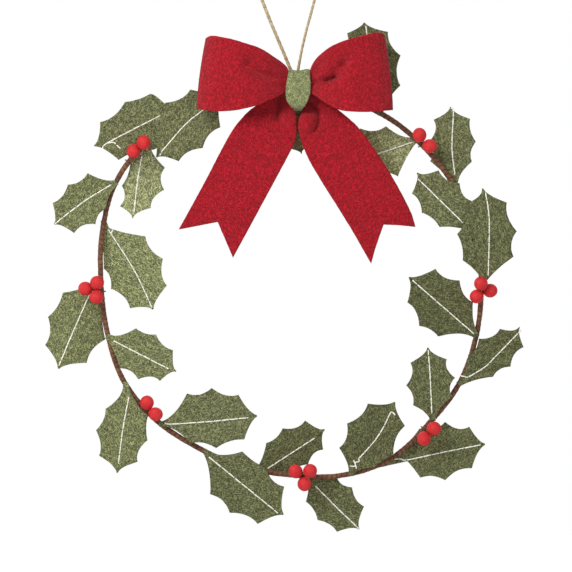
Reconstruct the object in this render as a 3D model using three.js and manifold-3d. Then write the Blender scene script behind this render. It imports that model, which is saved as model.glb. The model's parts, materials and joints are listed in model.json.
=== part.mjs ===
// Holly wreath: felt leaves, berries and a felt bow on a taped wire ring, hung by a loop of twine.
// Millimetres, +Z up, front facing -Y. The origin is under the top of the twine loop, on its inner side.
import * as THREE from 'three';
import { mergeVertices } from 'three/addons/utils/BufferGeometryUtils.js';
import Module from 'manifold-3d';

const wasm = await Module();
wasm.setup();

// Clearance between pieces that touch
const CLEARANCE = 0.3;

// Ring: a bent wire in a tape wrap
const RING_RADIUS = 120;
const WIRE_RADIUS = 1;
const TAPE_THICKNESS = 0.45;
const RING_ENDS_GAP = 1;
const RING_ENDS_ANGLE = 93;
const RING_STEPS = 64;
const RING_SIDES = 8;

// Radius of the hand-bent ring every 15 degrees, anticlockwise from the right
const RING_STATION_DEGREES = 15;
const RING_RADIUS_SHARES = [
  0.988, 0.997, 0.989, 0.989, 0.997, 0.994, 0.987, 0.999, 1.028, 1.043, 1.041, 1.005,
  0.976, 0.977, 0.995, 0.987, 0.971, 0.975, 0.987, 1.024, 1.042, 1.017, 1.014, 0.998,
];

// Twine loop and the hitch that ties it to the ring
const TWINE_DROP = 108.8;
const TWINE_ASIDE = 5.9;
const TWINE_RADIUS = 1;
const TWINE_SIDES = 8;
const TWINE_STEPS = 54;
const HITCH_ANGLE = 88.5;
const HITCH_WIDTH = 4.6;
const HITCH_SIDES = 16;

// Leaves: die-cut felt, each tacked to the ring by its neck
const LEAF_LENGTH = 56;
const LEAF_THICKNESS = 1.4;
const LEAF_NECK_HALF = 1.7;
const LEAF_TIP_HALF = 0.4;
const LEAF_TUCK = 1.2;
const LEAF_SCALLOP = 2.4;
const LEAF_ARC_STEPS = 3;

// Berries on twisted wire stems
const BERRY_RADIUS = 4.3;
const BERRY_HALF_LENGTH = 4.6;
const BERRY_HOLE_DEPTH = 2.4;
const BERRY_SIDES = 10;
const BERRY_ARC_STEPS = 5;
const STEM_RADIUS = 0.4;
const STEM_SIDES = 6;
const STEM_CLIP_DEGREES = 200;
const STEM_CLIP_STEPS = 8;
const STEM_PRONG_STEPS = 6;

// Bow: felt loops and tails held by a felt knot band
const KNOT_ANGLE = 87.8;
const KNOT_RISE = 3.3;
const FELT_THICKNESS = 1.3;
const KNOT_HEIGHT = 22.5;
const KNOT_WIDTH = 15.6;
const KNOT_CORNER = 3.2;
const KNOT_CORNER_STEPS = 4;
const NECK_ROOM = 2;
const LOOP_HEIGHT = 44;
const LOOP_PUFF = 17;
const LOOP_BACK = 8.5;
const LOOP_PLEAT = 2.6;
const LOOP_STEPS = 2;
const LOOP_COLUMNS = 8;
const TAIL_LENGTH = 107;
const TAIL_WIDTH = 37;
const TAIL_DROP = 4.3;
const TAIL_BULGE = 4;
const TAIL_PLEAT = 2.2;
const TAIL_ROWS = 14;
const TAIL_COLUMNS = 8;

// Wire that ties the bow to the ring
const TIE_RADIUS = 0.45;
const TIE_HALF_SPAN = 10.5;
const TIE_SIDES = 6;
const TIE_STEPS = 40;
const TIE_HOOK_ANGLES = [45, 100, 155, 210, 265, 310];

// Sizes that follow from those above
const TAPE_RADIUS = WIRE_RADIUS + CLEARANCE + TAPE_THICKNESS;
const SEAT = TAPE_RADIUS + CLEARANCE;
const HITCH_RADIUS = SEAT + 2 * TWINE_RADIUS;
const TWINE_BEHIND = SEAT + TWINE_RADIUS;
const KNOT_BACK = HITCH_RADIUS + CLEARANCE;
const TIE_DEPTH = KNOT_BACK + FELT_THICKNESS + CLEARANCE + TIE_RADIUS;
const TAIL_DEPTH = TIE_DEPTH + TIE_RADIUS + CLEARANCE + (FELT_THICKNESS + NECK_ROOM) / 2;
const NECK_PITCH = FELT_THICKNESS + NECK_ROOM + CLEARANCE;
const LOOP_NECK_BACK = TAIL_DEPTH + NECK_PITCH;
const LOOP_NECK_FRONT = LOOP_NECK_BACK + NECK_PITCH;
const KNOT_FRONT = LOOP_NECK_FRONT + (FELT_THICKNESS + NECK_ROOM) / 2 + CLEARANCE + FELT_THICKNESS;

// Each leaf: the ring angle where its axis crosses the wire, the way it points, its length, the side
// of the wire that it lies on (1 front, -1 back) and its layer there, its lean away from the wire in
// degrees, and how far its halves fold up from the midrib. The shares of each side's spines are
// [along, across] in its own length.
const LEAVES = [
  { at: 125.3, outShare: 0.12, points: 205, lengthShare: 0.90, side: 1, layer: 1, lean: 0, foldShare: 0,
    rightShares: [[0.11, 0.29], [0.43, 0.32], [0.81, 0.23]],
    leftShares: [[0.20, 0.22], [0.50, 0.26], [0.80, 0.28]] },
  { at: 110.3, outShare: 0.10, points: 226, lengthShare: 1.00, side: 1, layer: 2, lean: 0, foldShare: 0,
    rightShares: [[0.20, 0.25], [0.50, 0.35], [0.75, 0.32]],
    leftShares: [[0.27, 0.28], [0.57, 0.30], [0.86, 0.21]] },
  { at: 135, outShare: 0, points: 259, lengthShare: 0.87, side: -1, layer: 1, lean: 4, foldShare: 0.12,
    rightShares: [[0.29, 0.14], [0.62, 0.19], [0.88, 0.16]],
    leftShares: [[0.29, 0.28], [0.57, 0.32], [0.83, 0.20]] },
  { at: 150, outShare: 0, points: 214, lengthShare: 0.82, side: 1, layer: 1, lean: 6, foldShare: 0.10,
    rightShares: [[0.24, 0.31], [0.55, 0.33], [0.86, 0.24]],
    leftShares: [[0.31, 0.25], [0.54, 0.30], [0.84, 0.24]] },
  { at: 161.4, outShare: 0, points: 299, lengthShare: 1.12, side: -1, layer: 1, lean: 5, foldShare: 0.08,
    rightShares: [[0.41, 0.22], [0.62, 0.26], [0.88, 0.19]],
    leftShares: [[0.33, 0.29], [0.61, 0.33], [0.86, 0.23]] },
  { at: 179.2, outShare: 0, points: 244, lengthShare: 1.08, side: -1, layer: 1, lean: 3, foldShare: 0.10,
    rightShares: [[0.28, 0.29], [0.57, 0.32], [0.84, 0.22]],
    leftShares: [[0.25, 0.11], [0.52, 0.29], [0.82, 0.23]] },
  { at: 196.2, outShare: 0, points: 333, lengthShare: 0.85, side: 1, layer: 1, lean: 7, foldShare: 0.12,
    rightShares: [[0.33, 0.28], [0.61, 0.30], [0.87, 0.19]],
    leftShares: [[0.28, 0.26], [0.55, 0.30], [0.84, 0.22]] },
  { at: 211.2, outShare: 0, points: 265, lengthShare: 0.99, side: 1, layer: 1, lean: 4, foldShare: 0.08,
    rightShares: [[0.30, 0.19], [0.55, 0.27], [0.83, 0.21]],
    leftShares: [[0.34, 0.28], [0.61, 0.30], [0.86, 0.21]] },
  { at: 227.4, outShare: 0, points: 5, lengthShare: 1.07, side: 1, layer: 1, lean: 5, foldShare: 0.10,
    rightShares: [[0.29, 0.23], [0.55, 0.29], [0.85, 0.22]],
    leftShares: [[0.30, 0.29], [0.56, 0.33], [0.83, 0.23]] },
  { at: 243.5, outShare: 0, points: 321, lengthShare: 1.10, side: 1, layer: 1, lean: 3, foldShare: 0.08,
    rightShares: [[0.30, 0.30], [0.57, 0.32], [0.86, 0.23]],
    leftShares: [[0.28, 0.24], [0.57, 0.25], [0.83, 0.22]] },
  { at: 260.6, outShare: 0, points: 32, lengthShare: 0.86, side: -1, layer: 1, lean: 6, foldShare: 0.12,
    rightShares: [[0.31, 0.19], [0.58, 0.25], [0.85, 0.19]],
    leftShares: [[0.27, 0.24], [0.55, 0.29], [0.85, 0.22]] },
  { at: 275.9, outShare: 0, points: 313, lengthShare: 0.80, side: -1, layer: 1, lean: 4, foldShare: 0.10,
    rightShares: [[0.22, 0.26], [0.52, 0.31], [0.82, 0.22]],
    leftShares: [[0.27, 0.25], [0.51, 0.31], [0.82, 0.25]] },
  { at: 288, outShare: 0, points: 59, lengthShare: 0.93, side: 1, layer: 1, lean: 6, foldShare: 0.10,
    rightShares: [[0.20, 0.21], [0.45, 0.31], [0.82, 0.24]],
    leftShares: [[0.19, 0.28], [0.49, 0.35], [0.82, 0.25]] },
  { at: 295.9, outShare: 0, points: 11, lengthShare: 1.21, side: -1, layer: 1, lean: 3, foldShare: 0.08,
    rightShares: [[0.36, 0.19], [0.58, 0.25], [0.84, 0.19]],
    leftShares: [[0.44, 0.26], [0.68, 0.27], [0.89, 0.19]] },
  { at: 316.5, outShare: 0, points: 94, lengthShare: 0.80, side: 1, layer: 1, lean: 6, foldShare: 0.12,
    rightShares: [[0.30, 0.29], [0.56, 0.34], [0.82, 0.24]],
    leftShares: [[0.22, 0.25], [0.50, 0.32], [0.81, 0.24]] },
  { at: 329.7, outShare: 0, points: 43, lengthShare: 0.91, side: 1, layer: 1, lean: 4, foldShare: 0.10,
    rightShares: [[0.35, 0.21], [0.59, 0.26], [0.87, 0.20]],
    leftShares: [[0.31, 0.18], [0.54, 0.23], [0.81, 0.14]] },
  { at: 344.4, outShare: 0, points: 139, lengthShare: 0.99, side: 1, layer: 1, lean: 4, foldShare: 0.08,
    rightShares: [[0.28, 0.26], [0.55, 0.34], [0.84, 0.26]],
    leftShares: [[0.32, 0.29], [0.56, 0.33], [0.83, 0.22]] },
  { at: 1.5, outShare: 0.03, points: 91, lengthShare: 1.00, side: 1, layer: 2, lean: 1, foldShare: 0.04,
    rightShares: [[0.24, 0.32], [0.52, 0.37], [0.84, 0.27]],
    leftShares: [[0.21, 0.23], [0.50, 0.28], [0.85, 0.14]] },
  { at: 15.7, outShare: 0, points: 135, lengthShare: 0.92, side: 1, layer: 1, lean: 0, foldShare: 0,
    rightShares: [[0.30, 0.22], [0.55, 0.27], [0.84, 0.20]],
    leftShares: [[0.35, 0.26], [0.62, 0.28], [0.87, 0.20]] },
  { at: 29.6, outShare: 0, points: 94, lengthShare: 0.92, side: -1, layer: 1, lean: 4, foldShare: 0.10,
    rightShares: [[0.32, 0.20], [0.56, 0.26], [0.84, 0.21]],
    leftShares: [[0.36, 0.29], [0.61, 0.27], [0.86, 0.21]] },
  { at: 49.2, outShare: 0, points: 198, lengthShare: 0.90, side: -1, layer: 1, lean: 5, foldShare: 0.08,
    rightShares: [[0.30, 0.26], [0.61, 0.33], [0.84, 0.22]],
    leftShares: [[0.35, 0.37], [0.61, 0.29], [0.84, 0.22]] },
  { at: 62.2, outShare: 0, points: 100, lengthShare: 1.02, side: -1, layer: 1, lean: 3, foldShare: 0.08,
    rightShares: [[0.26, 0.27], [0.58, 0.33], [0.86, 0.24]],
    leftShares: [[0.26, 0.27], [0.58, 0.33], [0.92, 0.20]] },
  { at: 85.3, outShare: 0, points: 266, lengthShare: 0.67, side: -1, layer: 1, lean: 4, foldShare: 0.06,
    rightShares: [[0.34, 0.20], [0.56, 0.25], [0.84, 0.20]],
    leftShares: [[0.34, 0.20], [0.56, 0.25], [0.84, 0.20]] },
  { at: 100.2, outShare: 0, points: 165, lengthShare: 0.66, side: -1, layer: 1, lean: 4, foldShare: 0.08,
    rightShares: [[0.24, 0.26], [0.51, 0.31], [0.83, 0.23]],
    leftShares: [[0.24, 0.26], [0.51, 0.31], [0.83, 0.23]] },
];

// Each cluster: the ring angle of its stem, how far its stalk stands up before it parts, the leaf
// layers that it stands over, and its berries: distance along the ring from the stem, distance
// outside the wire, rise above a berry that rests on the tape, and how far outwards the prong to
// it bends where it doesn't run straight. The shares are in berry radii.
const CLUSTERS = [
  { at: 143, forkShare: 0.5, over: 1, berries: [
    { alongShare: -3.41, outShare: 0.18, riseShare: 1.15, bendShare: -1.7 },
    { alongShare: -1.61, outShare: 0.40, riseShare: 0 },
  ] },
  { at: 182.3, forkShare: 0.5, over: 0, berries: [
    { alongShare: -0.49, outShare: 2.25, riseShare: 0 },
    { alongShare: -1.27, outShare: 0.53, riseShare: 0.85 },
    { alongShare: 0.78, outShare: 0.75, riseShare: 1.25 },
  ] },
  { at: 221.8, forkShare: 0.5, over: 0, berries: [
    { alongShare: -1.02, outShare: -0.88, riseShare: 0 },
    { alongShare: 1.12, outShare: -0.60, riseShare: 0.15 },
  ] },
  { at: 273.8, forkShare: 0.5, over: 0, berries: [
    { alongShare: -1.02, outShare: -0.60, riseShare: 0.40 },
    { alongShare: 1.12, outShare: -0.86, riseShare: 0.95 },
    { alongShare: 0.15, outShare: 1.1, riseShare: 0.15 },
  ] },
  { at: 312.6, forkShare: 0.5, over: 0, berries: [
    { alongShare: 1.12, outShare: 0.98, riseShare: 0.15 },
    { alongShare: -0.83, outShare: 0.93, riseShare: 0 },
  ] },
  { at: 357.6, forkShare: 0.5, over: 1, berries: [
    { alongShare: 1.22, outShare: -0.12, riseShare: 1.25 },
    { alongShare: 0.24, outShare: 1.26, riseShare: 0 },
    { alongShare: -0.68, outShare: -0.67, riseShare: 0.35 },
  ] },
  { at: 46.8, forkShare: 0.5, over: 0, berries: [
    { alongShare: 1.07, outShare: 0.77, riseShare: 0 },
    { alongShare: -1.07, outShare: 0.67, riseShare: 0 },
  ] },
];

// Twine centreline from the hitch's left side up, over the peg and down to its right side, as
// [aside, up] shares of the drop from the peg to the hitch
const TWINE_ROUTE_SHARES = [
  [0.044, -0.965], [0.039, -0.915], [0.029, -0.869], [0.004, -0.807], [-0.02, -0.749], [-0.054, -0.669],
  [-0.095, -0.57], [-0.133, -0.471], [-0.168, -0.377], [-0.199, -0.285], [-0.218, -0.198], [-0.205, -0.116],
  [-0.157, -0.051], [-0.084, -0.006], [0, 0.009], [0.084, -0.006], [0.157, -0.051], [0.205, -0.116],
  [0.221, -0.198], [0.213, -0.285], [0.191, -0.377], [0.165, -0.471], [0.141, -0.562], [0.12, -0.638],
  [0.097, -0.735], [0.082, -0.809], [0.071, -0.875], [0.067, -0.917], [0.065, -0.965],
];

// The bow's loops: reach, and the top and bottom edges as [out, height] shares of reach and height
const LOOPS = [
  { name: 'left', side: -1, reachShare: 1.4,
    topShares: [[0, 0.185], [0.125, 0.195], [0.17, 0.33], [0.22, 0.41], [0.34, 0.52], [0.49, 0.605],
      [0.66, 0.67], [0.90, 0.705], [1, 0.70]],
    bottomShares: [[0, -0.07], [0.12, -0.075], [0.20, -0.12], [0.35, -0.20], [0.44, -0.255],
      [0.58, -0.295], [0.75, -0.325], [1, -0.29]] },
  { name: 'right', side: 1, reachShare: 1.33,
    topShares: [[0, 0.185], [0.125, 0.195], [0.17, 0.36], [0.22, 0.465], [0.32, 0.585], [0.45, 0.66],
      [0.67, 0.745], [0.90, 0.77], [1, 0.76]],
    bottomShares: [[0, -0.07], [0.12, -0.075], [0.20, -0.145], [0.30, -0.205], [0.45, -0.31],
      [0.75, -0.34], [1, -0.29]] },
];
const LOOP_TOP_REACH_SHARE = 0.91;
const LOOP_PLEAT_COUNT = 1.5;

// A loop's plan between its two necks: [out along the reach, forward across the puff] shares
const LOOP_PLAN_SHARES = [
  [0.36, 0.26], [0.62, 0.06], [0.86, 0], [0.97, 0.10], [1, 0.30], [0.97, 0.55], [0.84, 0.84], [0.58, 1], [0.34, 0.86],
];
const LOOP_NECK_SHARES = [0.01, 0.125];

// The bow's tails: direction, edges as [along, across] shares, and where corner, notch and point end
const TAILS = [
  { name: 'left', side: -1, points: 241.6,
    outerShares: [[0.014, 0.11], [0.056, 0.27], [0.13, 0.445], [0.256, 0.59], [0.378, 0.65],
      [0.70, 0.643], [1, 0.651]],
    innerShares: [[0.014, 0.01], [0.042, 0.07], [0.075, 0.07], [0.12, -0.12], [0.17, -0.27],
      [0.22, -0.343], [0.315, -0.36], [0.69, -0.332], [1, -0.351]],
    endShares: [0.998, 0.865, 1.004] },
  { name: 'right', side: 1, points: 298.7,
    outerShares: [[0.014, 0.11], [0.056, 0.24], [0.12, 0.35], [0.22, 0.495], [0.338, 0.632],
      [0.528, 0.695], [0.716, 0.724], [0.916, 0.711], [1, 0.662]],
    innerShares: [[0.014, 0.01], [0.042, 0.07], [0.075, 0.06], [0.105, -0.04], [0.148, -0.20],
      [0.252, -0.32], [0.39, -0.36], [0.81, -0.303], [1.06, -0.286]],
    endShares: [1, 0.90, 1.063] },
];
const TAIL_PLEAT_COUNT = 1.5;

// Widths of the knot band up its height, as [height from its middle, width] shares
const KNOT_WIDTH_SHARES = [[-1, 0.48], [-0.45, 0.86], [0, 1], [0.5, 0.93], [1, 0.8]];

// Finishes
const FELT_GREEN = new THREE.MeshStandardMaterial({ color: 0x6f7c54, roughness: 0.95, metalness: 0 });
const FELT_SAGE = new THREE.MeshStandardMaterial({ color: 0x87955f, roughness: 0.95, metalness: 0 });
const FELT_RED = new THREE.MeshStandardMaterial({ color: 0xb21c2c, roughness: 0.95, metalness: 0 });
const BERRY_RED = new THREE.MeshStandardMaterial({ color: 0xd73234, roughness: 0.7, metalness: 0 });
const TAPE_BROWN = new THREE.MeshStandardMaterial({ color: 0x5e3a2b, roughness: 0.85, metalness: 0 });
const WIRE_STEEL = new THREE.MeshStandardMaterial({ color: 0x8c8c8c, roughness: 0.4, metalness: 1 });
const WIRE_GREEN = new THREE.MeshStandardMaterial({ color: 0x39452c, roughness: 0.6, metalness: 0 });
const JUTE = new THREE.MeshStandardMaterial({ color: 0xc0a67a, roughness: 0.95, metalness: 0 });

// The value at x of a smooth line through a table of [x, value] pairs
function smoothValue(table, x) {
  const last = table.length - 1;
  let k = 0;
  while (k < last - 1 && x > table[k + 1][0]) k += 1;
  const slopeAt = (i) => {
    const before = table[Math.max(i - 1, 0)];
    const after = table[Math.min(i + 1, last)];
    return (after[1] - before[1]) / (after[0] - before[0]);
  };
  const [x0, y0] = table[k];
  const [x1, y1] = table[k + 1];
  const span = x1 - x0;
  const t = THREE.MathUtils.clamp((x - x0) / span, 0, 1);
  const ease = t * t * (3 - 2 * t);
  const leave = t * (1 - t) * (1 - t) * span * slopeAt(k);
  const arrive = t * t * (1 - t) * span * slopeAt(k + 1);
  return y0 + (y1 - y0) * ease + leave - arrive;
}

// The ring's radius at an angle in degrees
const RING_COUNT = RING_RADIUS_SHARES.length;
const RING_TABLE = [];
for (let i = -1; i <= RING_COUNT + 1; i += 1) {
  RING_TABLE.push([i * RING_STATION_DEGREES, RING_RADIUS_SHARES[(i + RING_COUNT) % RING_COUNT]]);
}
function ringRadius(angle) {
  const turn = RING_COUNT * RING_STATION_DEGREES;
  return RING_RADIUS * smoothValue(RING_TABLE, ((angle % turn) + turn) % turn);
}

// A point near the ring: its angle, then how far outside and in front of the wire's centre
function ringPoint(angle, out = 0, forward = 0) {
  const turn = THREE.MathUtils.degToRad(angle);
  const radius = ringRadius(angle) + out;
  return new THREE.Vector3(radius * Math.cos(turn), -forward, radius * Math.sin(turn));
}

// The ring's centre, hung in the hitch just in front of the twine
function ringCentre() {
  return new THREE.Vector3(TWINE_ASIDE, -TWINE_BEHIND, -TWINE_DROP).sub(ringPoint(HITCH_ANGLE));
}

// A stretch of the ring's centreline
class RingPath extends THREE.Curve {
  constructor(from, to) {
    super();
    this.from = from;
    this.to = to;
  }

  getPoint(t, target = new THREE.Vector3()) {
    return target.copy(ringPoint(THREE.MathUtils.lerp(this.from, this.to, t)));
  }
}

// A regular section with its corners on a circle
function roundSection(radius, sides) {
  const corners = [];
  for (let i = 0; i < sides; i += 1) {
    const turn = (2 * Math.PI * i) / sides;
    corners.push(new THREE.Vector2(radius * Math.cos(turn), radius * Math.sin(turn)));
  }
  return corners;
}

// A rod or, with a bore, a sleeve along a path
function tube(path, radius, sides, steps, bore = 0) {
  const section = new THREE.Shape(roundSection(radius, sides));
  if (bore > 0) section.holes.push(new THREE.Path(roundSection(bore, sides)));
  return new THREE.ExtrudeGeometry(section, { extrudePath: path, steps, bevelEnabled: false });
}

// A sheet of felt around a grid of middle points, half its thickness to each side
function feltSheet(grid, thickness) {
  const rows = grid.length;
  const columns = grid[0].length;
  const positions = [];
  const across = new THREE.Vector3();
  const along = new THREE.Vector3();
  for (const half of [thickness / 2, -thickness / 2]) {
    for (let i = 0; i < rows; i += 1) {
      for (let j = 0; j < columns; j += 1) {
        along.subVectors(grid[Math.min(i + 1, rows - 1)][j], grid[Math.max(i - 1, 0)][j]);
        across.subVectors(grid[i][Math.min(j + 1, columns - 1)], grid[i][Math.max(j - 1, 0)]);
        const normal = along.clone().cross(across).normalize();
        const point = grid[i][j].clone().addScaledVector(normal, half);
        positions.push(point.x, point.y, point.z);
      }
    }
  }
  const backStart = rows * columns;
  const index = [];
  const quad = (a, b, c, d) => index.push(a, b, c, a, c, d);
  for (let i = 0; i < rows - 1; i += 1) {
    for (let j = 0; j < columns - 1; j += 1) {
      const a = i * columns + j;
      const b = a + columns;
      quad(a, b, b + 1, a + 1);
      quad(backStart + a, backStart + a + 1, backStart + b + 1, backStart + b);
    }
  }
  const rim = [];
  for (let j = 0; j < columns - 1; j += 1) rim.push(j);
  for (let i = 0; i < rows - 1; i += 1) rim.push(i * columns + columns - 1);
  for (let j = columns - 1; j > 0; j -= 1) rim.push((rows - 1) * columns + j);
  for (let i = rows - 1; i > 0; i -= 1) rim.push(i * columns);
  rim.forEach((a, k) => {
    const b = rim[(k + 1) % rim.length];
    quad(a, b, backStart + b, backStart + a);
  });
  const geometry = new THREE.BufferGeometry();
  geometry.setAttribute('position', new THREE.Float32BufferAttribute(positions, 3));
  geometry.setIndex(index);
  geometry.computeVertexNormals();
  return geometry;
}

// One solid from several closed geometries that overlap
function joined(geometries) {
  const solids = geometries.map((geometry) => {
    const bare = geometry.clone();
    bare.deleteAttribute('normal');
    bare.deleteAttribute('uv');
    const merged = mergeVertices(bare);
    return new wasm.Manifold(new wasm.Mesh({
      numProp: 3,
      vertProperties: new Float32Array(merged.attributes.position.array),
      triVerts: new Uint32Array(merged.index.array),
    }));
  });
  const mesh = solids.reduce((whole, solid) => whole.add(solid)).getMesh();
  const geometry = new THREE.BufferGeometry();
  geometry.setAttribute('position', new THREE.Float32BufferAttribute(mesh.vertProperties, 3));
  geometry.setIndex(Array.from(mesh.triVerts));
  geometry.computeVertexNormals();
  return geometry;
}

function namedMesh(name, geometry, material) {
  const mesh = new THREE.Mesh(geometry, material.clone());
  mesh.name = name;
  return mesh;
}

// One side of a leaf's outline: hollow arcs between the neck, the spines and the tip
function leafEdge(spineShares, length) {
  const corners = [
    new THREE.Vector2(-LEAF_TUCK, LEAF_NECK_HALF),
    ...spineShares.map(([along, across]) => new THREE.Vector2(along * length, across * length)),
    new THREE.Vector2(length, LEAF_TIP_HALF),
  ];
  const edge = [corners[0]];
  for (let i = 1; i < corners.length; i += 1) {
    const middle = corners[i - 1].clone().add(corners[i]).multiplyScalar(0.5);
    middle.y -= 2 * LEAF_SCALLOP;
    const arc = new THREE.QuadraticBezierCurve(corners[i - 1], middle, corners[i]);
    edge.push(...arc.getPoints(LEAF_ARC_STEPS).slice(1));
  }
  return edge;
}

// A leaf in its own frame: its neck at the origin, its tip along +Z, its right side along +X
function leafGeometry(leaf) {
  const length = LEAF_LENGTH * leaf.lengthShare;
  const right = leafEdge(leaf.rightShares, length);
  const left = leafEdge(leaf.leftShares, length);
  const fold = -leaf.side * leaf.foldShare;
  const grid = right.map((edge, i) => {
    const other = left[i];
    return [
      new THREE.Vector3(edge.y, fold * edge.y, edge.x),
      new THREE.Vector3(0, 0, (edge.x + other.x) / 2),
      new THREE.Vector3(-other.y, fold * other.y, other.x),
    ];
  });
  return feltSheet(grid, LEAF_THICKNESS);
}

// A leaf set on the ring: turned to its direction and leaning away from the wire
function leafMesh(leaf, name) {
  const mesh = namedMesh(name, leafGeometry(leaf), FELT_GREEN);
  const layerPitch = LEAF_THICKNESS + CLEARANCE;
  const forward = leaf.side * (SEAT + LEAF_THICKNESS / 2 + (leaf.layer - 1) * layerPitch);
  mesh.position.copy(ringPoint(leaf.at, leaf.outShare * LEAF_LENGTH, forward));
  const lean = THREE.MathUtils.degToRad(leaf.side * leaf.lean);
  const turn = THREE.MathUtils.degToRad(90 - leaf.points);
  mesh.rotation.set(lean, turn, 0, 'YXZ');
  return mesh;
}

// A berry in its own frame: its stem hole at the bottom of +Z, its middle at the origin
function berryGeometry() {
  const hole = STEM_RADIUS + CLEARANCE;
  const profile = [new THREE.Vector2(0, BERRY_HOLE_DEPTH - BERRY_HALF_LENGTH)];
  profile.push(new THREE.Vector2(hole, BERRY_HOLE_DEPTH - BERRY_HALF_LENGTH));
  const mouth = Math.asin(hole / BERRY_RADIUS);
  for (let i = 0; i <= BERRY_ARC_STEPS; i += 1) {
    const turn = THREE.MathUtils.lerp(mouth, Math.PI, i / BERRY_ARC_STEPS);
    const across = i < BERRY_ARC_STEPS ? BERRY_RADIUS * Math.sin(turn) : 0;
    profile.push(new THREE.Vector2(across, -BERRY_HALF_LENGTH * Math.cos(turn)));
  }
  return new THREE.LatheGeometry(profile, BERRY_SIDES).rotateX(Math.PI / 2);
}

// Where a cluster's prongs part, and where its berries sit
function clusterFork(cluster) {
  const stalk = cluster.forkShare * BERRY_RADIUS;
  return ringPoint(cluster.at, 0, SEAT + stalk + cluster.over * (LEAF_THICKNESS + CLEARANCE));
}
function berryCentre(cluster, berry) {
  const seat = SEAT + BERRY_HALF_LENGTH + cluster.over * (LEAF_THICKNESS + CLEARANCE);
  const along = THREE.MathUtils.radToDeg((berry.alongShare * BERRY_RADIUS) / RING_RADIUS);
  const out = berry.outShare * BERRY_RADIUS;
  return ringPoint(cluster.at + along, out, seat + berry.riseShare * BERRY_RADIUS);
}

// Where the prong to a berry bends: half way there, and off to one side where another berry is in between
function prongBend(cluster, berry) {
  const aside = (berry.bendShare ?? 0) * BERRY_RADIUS;
  return clusterFork(cluster).lerp(berryCentre(cluster, berry), 0.5)
    .addScaledVector(ringPoint(cluster.at).normalize(), aside);
}

function berryMesh(cluster, berry, name) {
  const mesh = namedMesh(name, berryGeometry(), BERRY_RED);
  const centre = berryCentre(cluster, berry);
  const away = centre.clone().sub(prongBend(cluster, berry)).normalize();
  mesh.position.copy(centre);
  mesh.quaternion.setFromUnitVectors(new THREE.Vector3(0, 0, 1), away);
  return mesh;
}

// A stem wire: a clip round the front of the tape, a stalk, and a prong into each berry's hole
function stemGeometry(cluster) {
  const outward = ringPoint(cluster.at).normalize();
  const forward = new THREE.Vector3(0, -1, 0);
  const centre = ringPoint(cluster.at);
  const clipRadius = SEAT + STEM_RADIUS;
  const onClip = (degrees) => {
    const turn = THREE.MathUtils.degToRad(degrees);
    return centre.clone()
      .addScaledVector(forward, clipRadius * Math.cos(turn))
      .addScaledVector(outward, clipRadius * Math.sin(turn));
  };
  const clipPoints = [];
  for (let i = 0; i <= STEM_CLIP_STEPS; i += 1) {
    clipPoints.push(onClip((i / STEM_CLIP_STEPS - 0.5) * STEM_CLIP_DEGREES));
  }
  const clip = tube(new THREE.CatmullRomCurve3(clipPoints), STEM_RADIUS, STEM_SIDES, STEM_CLIP_STEPS);
  const fork = clusterFork(cluster);
  const pieces = [clip];
  for (const berry of cluster.berries) {
    const berryMiddle = berryCentre(cluster, berry);
    const bend = prongBend(cluster, berry);
    const away = berryMiddle.clone().sub(bend).normalize();
    const holeEnd = BERRY_HALF_LENGTH - BERRY_HOLE_DEPTH + CLEARANCE;
    const end = berryMiddle.clone().addScaledVector(away, -holeEnd);
    const prong = new THREE.QuadraticBezierCurve3(fork, bend, end);
    pieces.push(tube(prong, STEM_RADIUS, STEM_SIDES, STEM_PRONG_STEPS));
  }
  const root = onClip(0);
  const stalkEnd = fork.clone().addScaledVector(forward, STEM_RADIUS);
  pieces.push(tube(new THREE.LineCurve3(root, stalkEnd), STEM_RADIUS, STEM_SIDES, 1));
  return joined(pieces);
}

// The knot's middle, from the ring's centre
function knotCentre() {
  return ringPoint(KNOT_ANGLE).add(new THREE.Vector3(0, 0, KNOT_RISE));
}

// One side of a loop: a ribbon from its neck out, round its fold and back to its neck
function loopGeometry(loop) {
  const [start, leave] = LOOP_NECK_SHARES;
  const reach = LOOP_HEIGHT * loop.reachShare;
  const plan = [[start * reach, LOOP_NECK_BACK], [leave * reach, LOOP_NECK_BACK]];
  for (const [out, forward] of LOOP_PLAN_SHARES) {
    plan.push([out * reach, LOOP_BACK + forward * LOOP_PUFF]);
  }
  plan.push([leave * reach, LOOP_NECK_FRONT], [start * reach, LOOP_NECK_FRONT]);
  const path = new THREE.CatmullRomCurve3(plan.map(([out, forward]) => new THREE.Vector3(out, forward, 0)));
  const grid = [];
  const rows = LOOP_STEPS * (plan.length - 1);
  for (let i = 0; i <= rows; i += 1) {
    const station = path.getPoint(i / rows);
    const share = station.x / reach;
    const front = (station.y - LOOP_BACK) / LOOP_PUFF;
    const row = [];
    for (let j = 0; j <= LOOP_COLUMNS; j += 1) {
      const up = loop.side > 0 ? 1 - j / LOOP_COLUMNS : j / LOOP_COLUMNS;
      const top = smoothValue(loop.topShares, share);
      const bottom = smoothValue(loop.bottomShares, share);
      const height = LOOP_HEIGHT * THREE.MathUtils.lerp(bottom, top, up);
      const slant = THREE.MathUtils.lerp(1, LOOP_TOP_REACH_SHARE, up * share);
      const waist = Math.sin(Math.PI * THREE.MathUtils.clamp((share - leave) / (0.8 - leave), 0, 1));
      const pleat = LOOP_PLEAT * front * waist * Math.cos(2 * Math.PI * LOOP_PLEAT_COUNT * (up - 0.5));
      row.push(new THREE.Vector3(loop.side * station.x * slant, -(station.y - pleat), height));
    }
    grid.push(row);
  }
  return feltSheet(grid, FELT_THICKNESS);
}

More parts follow.
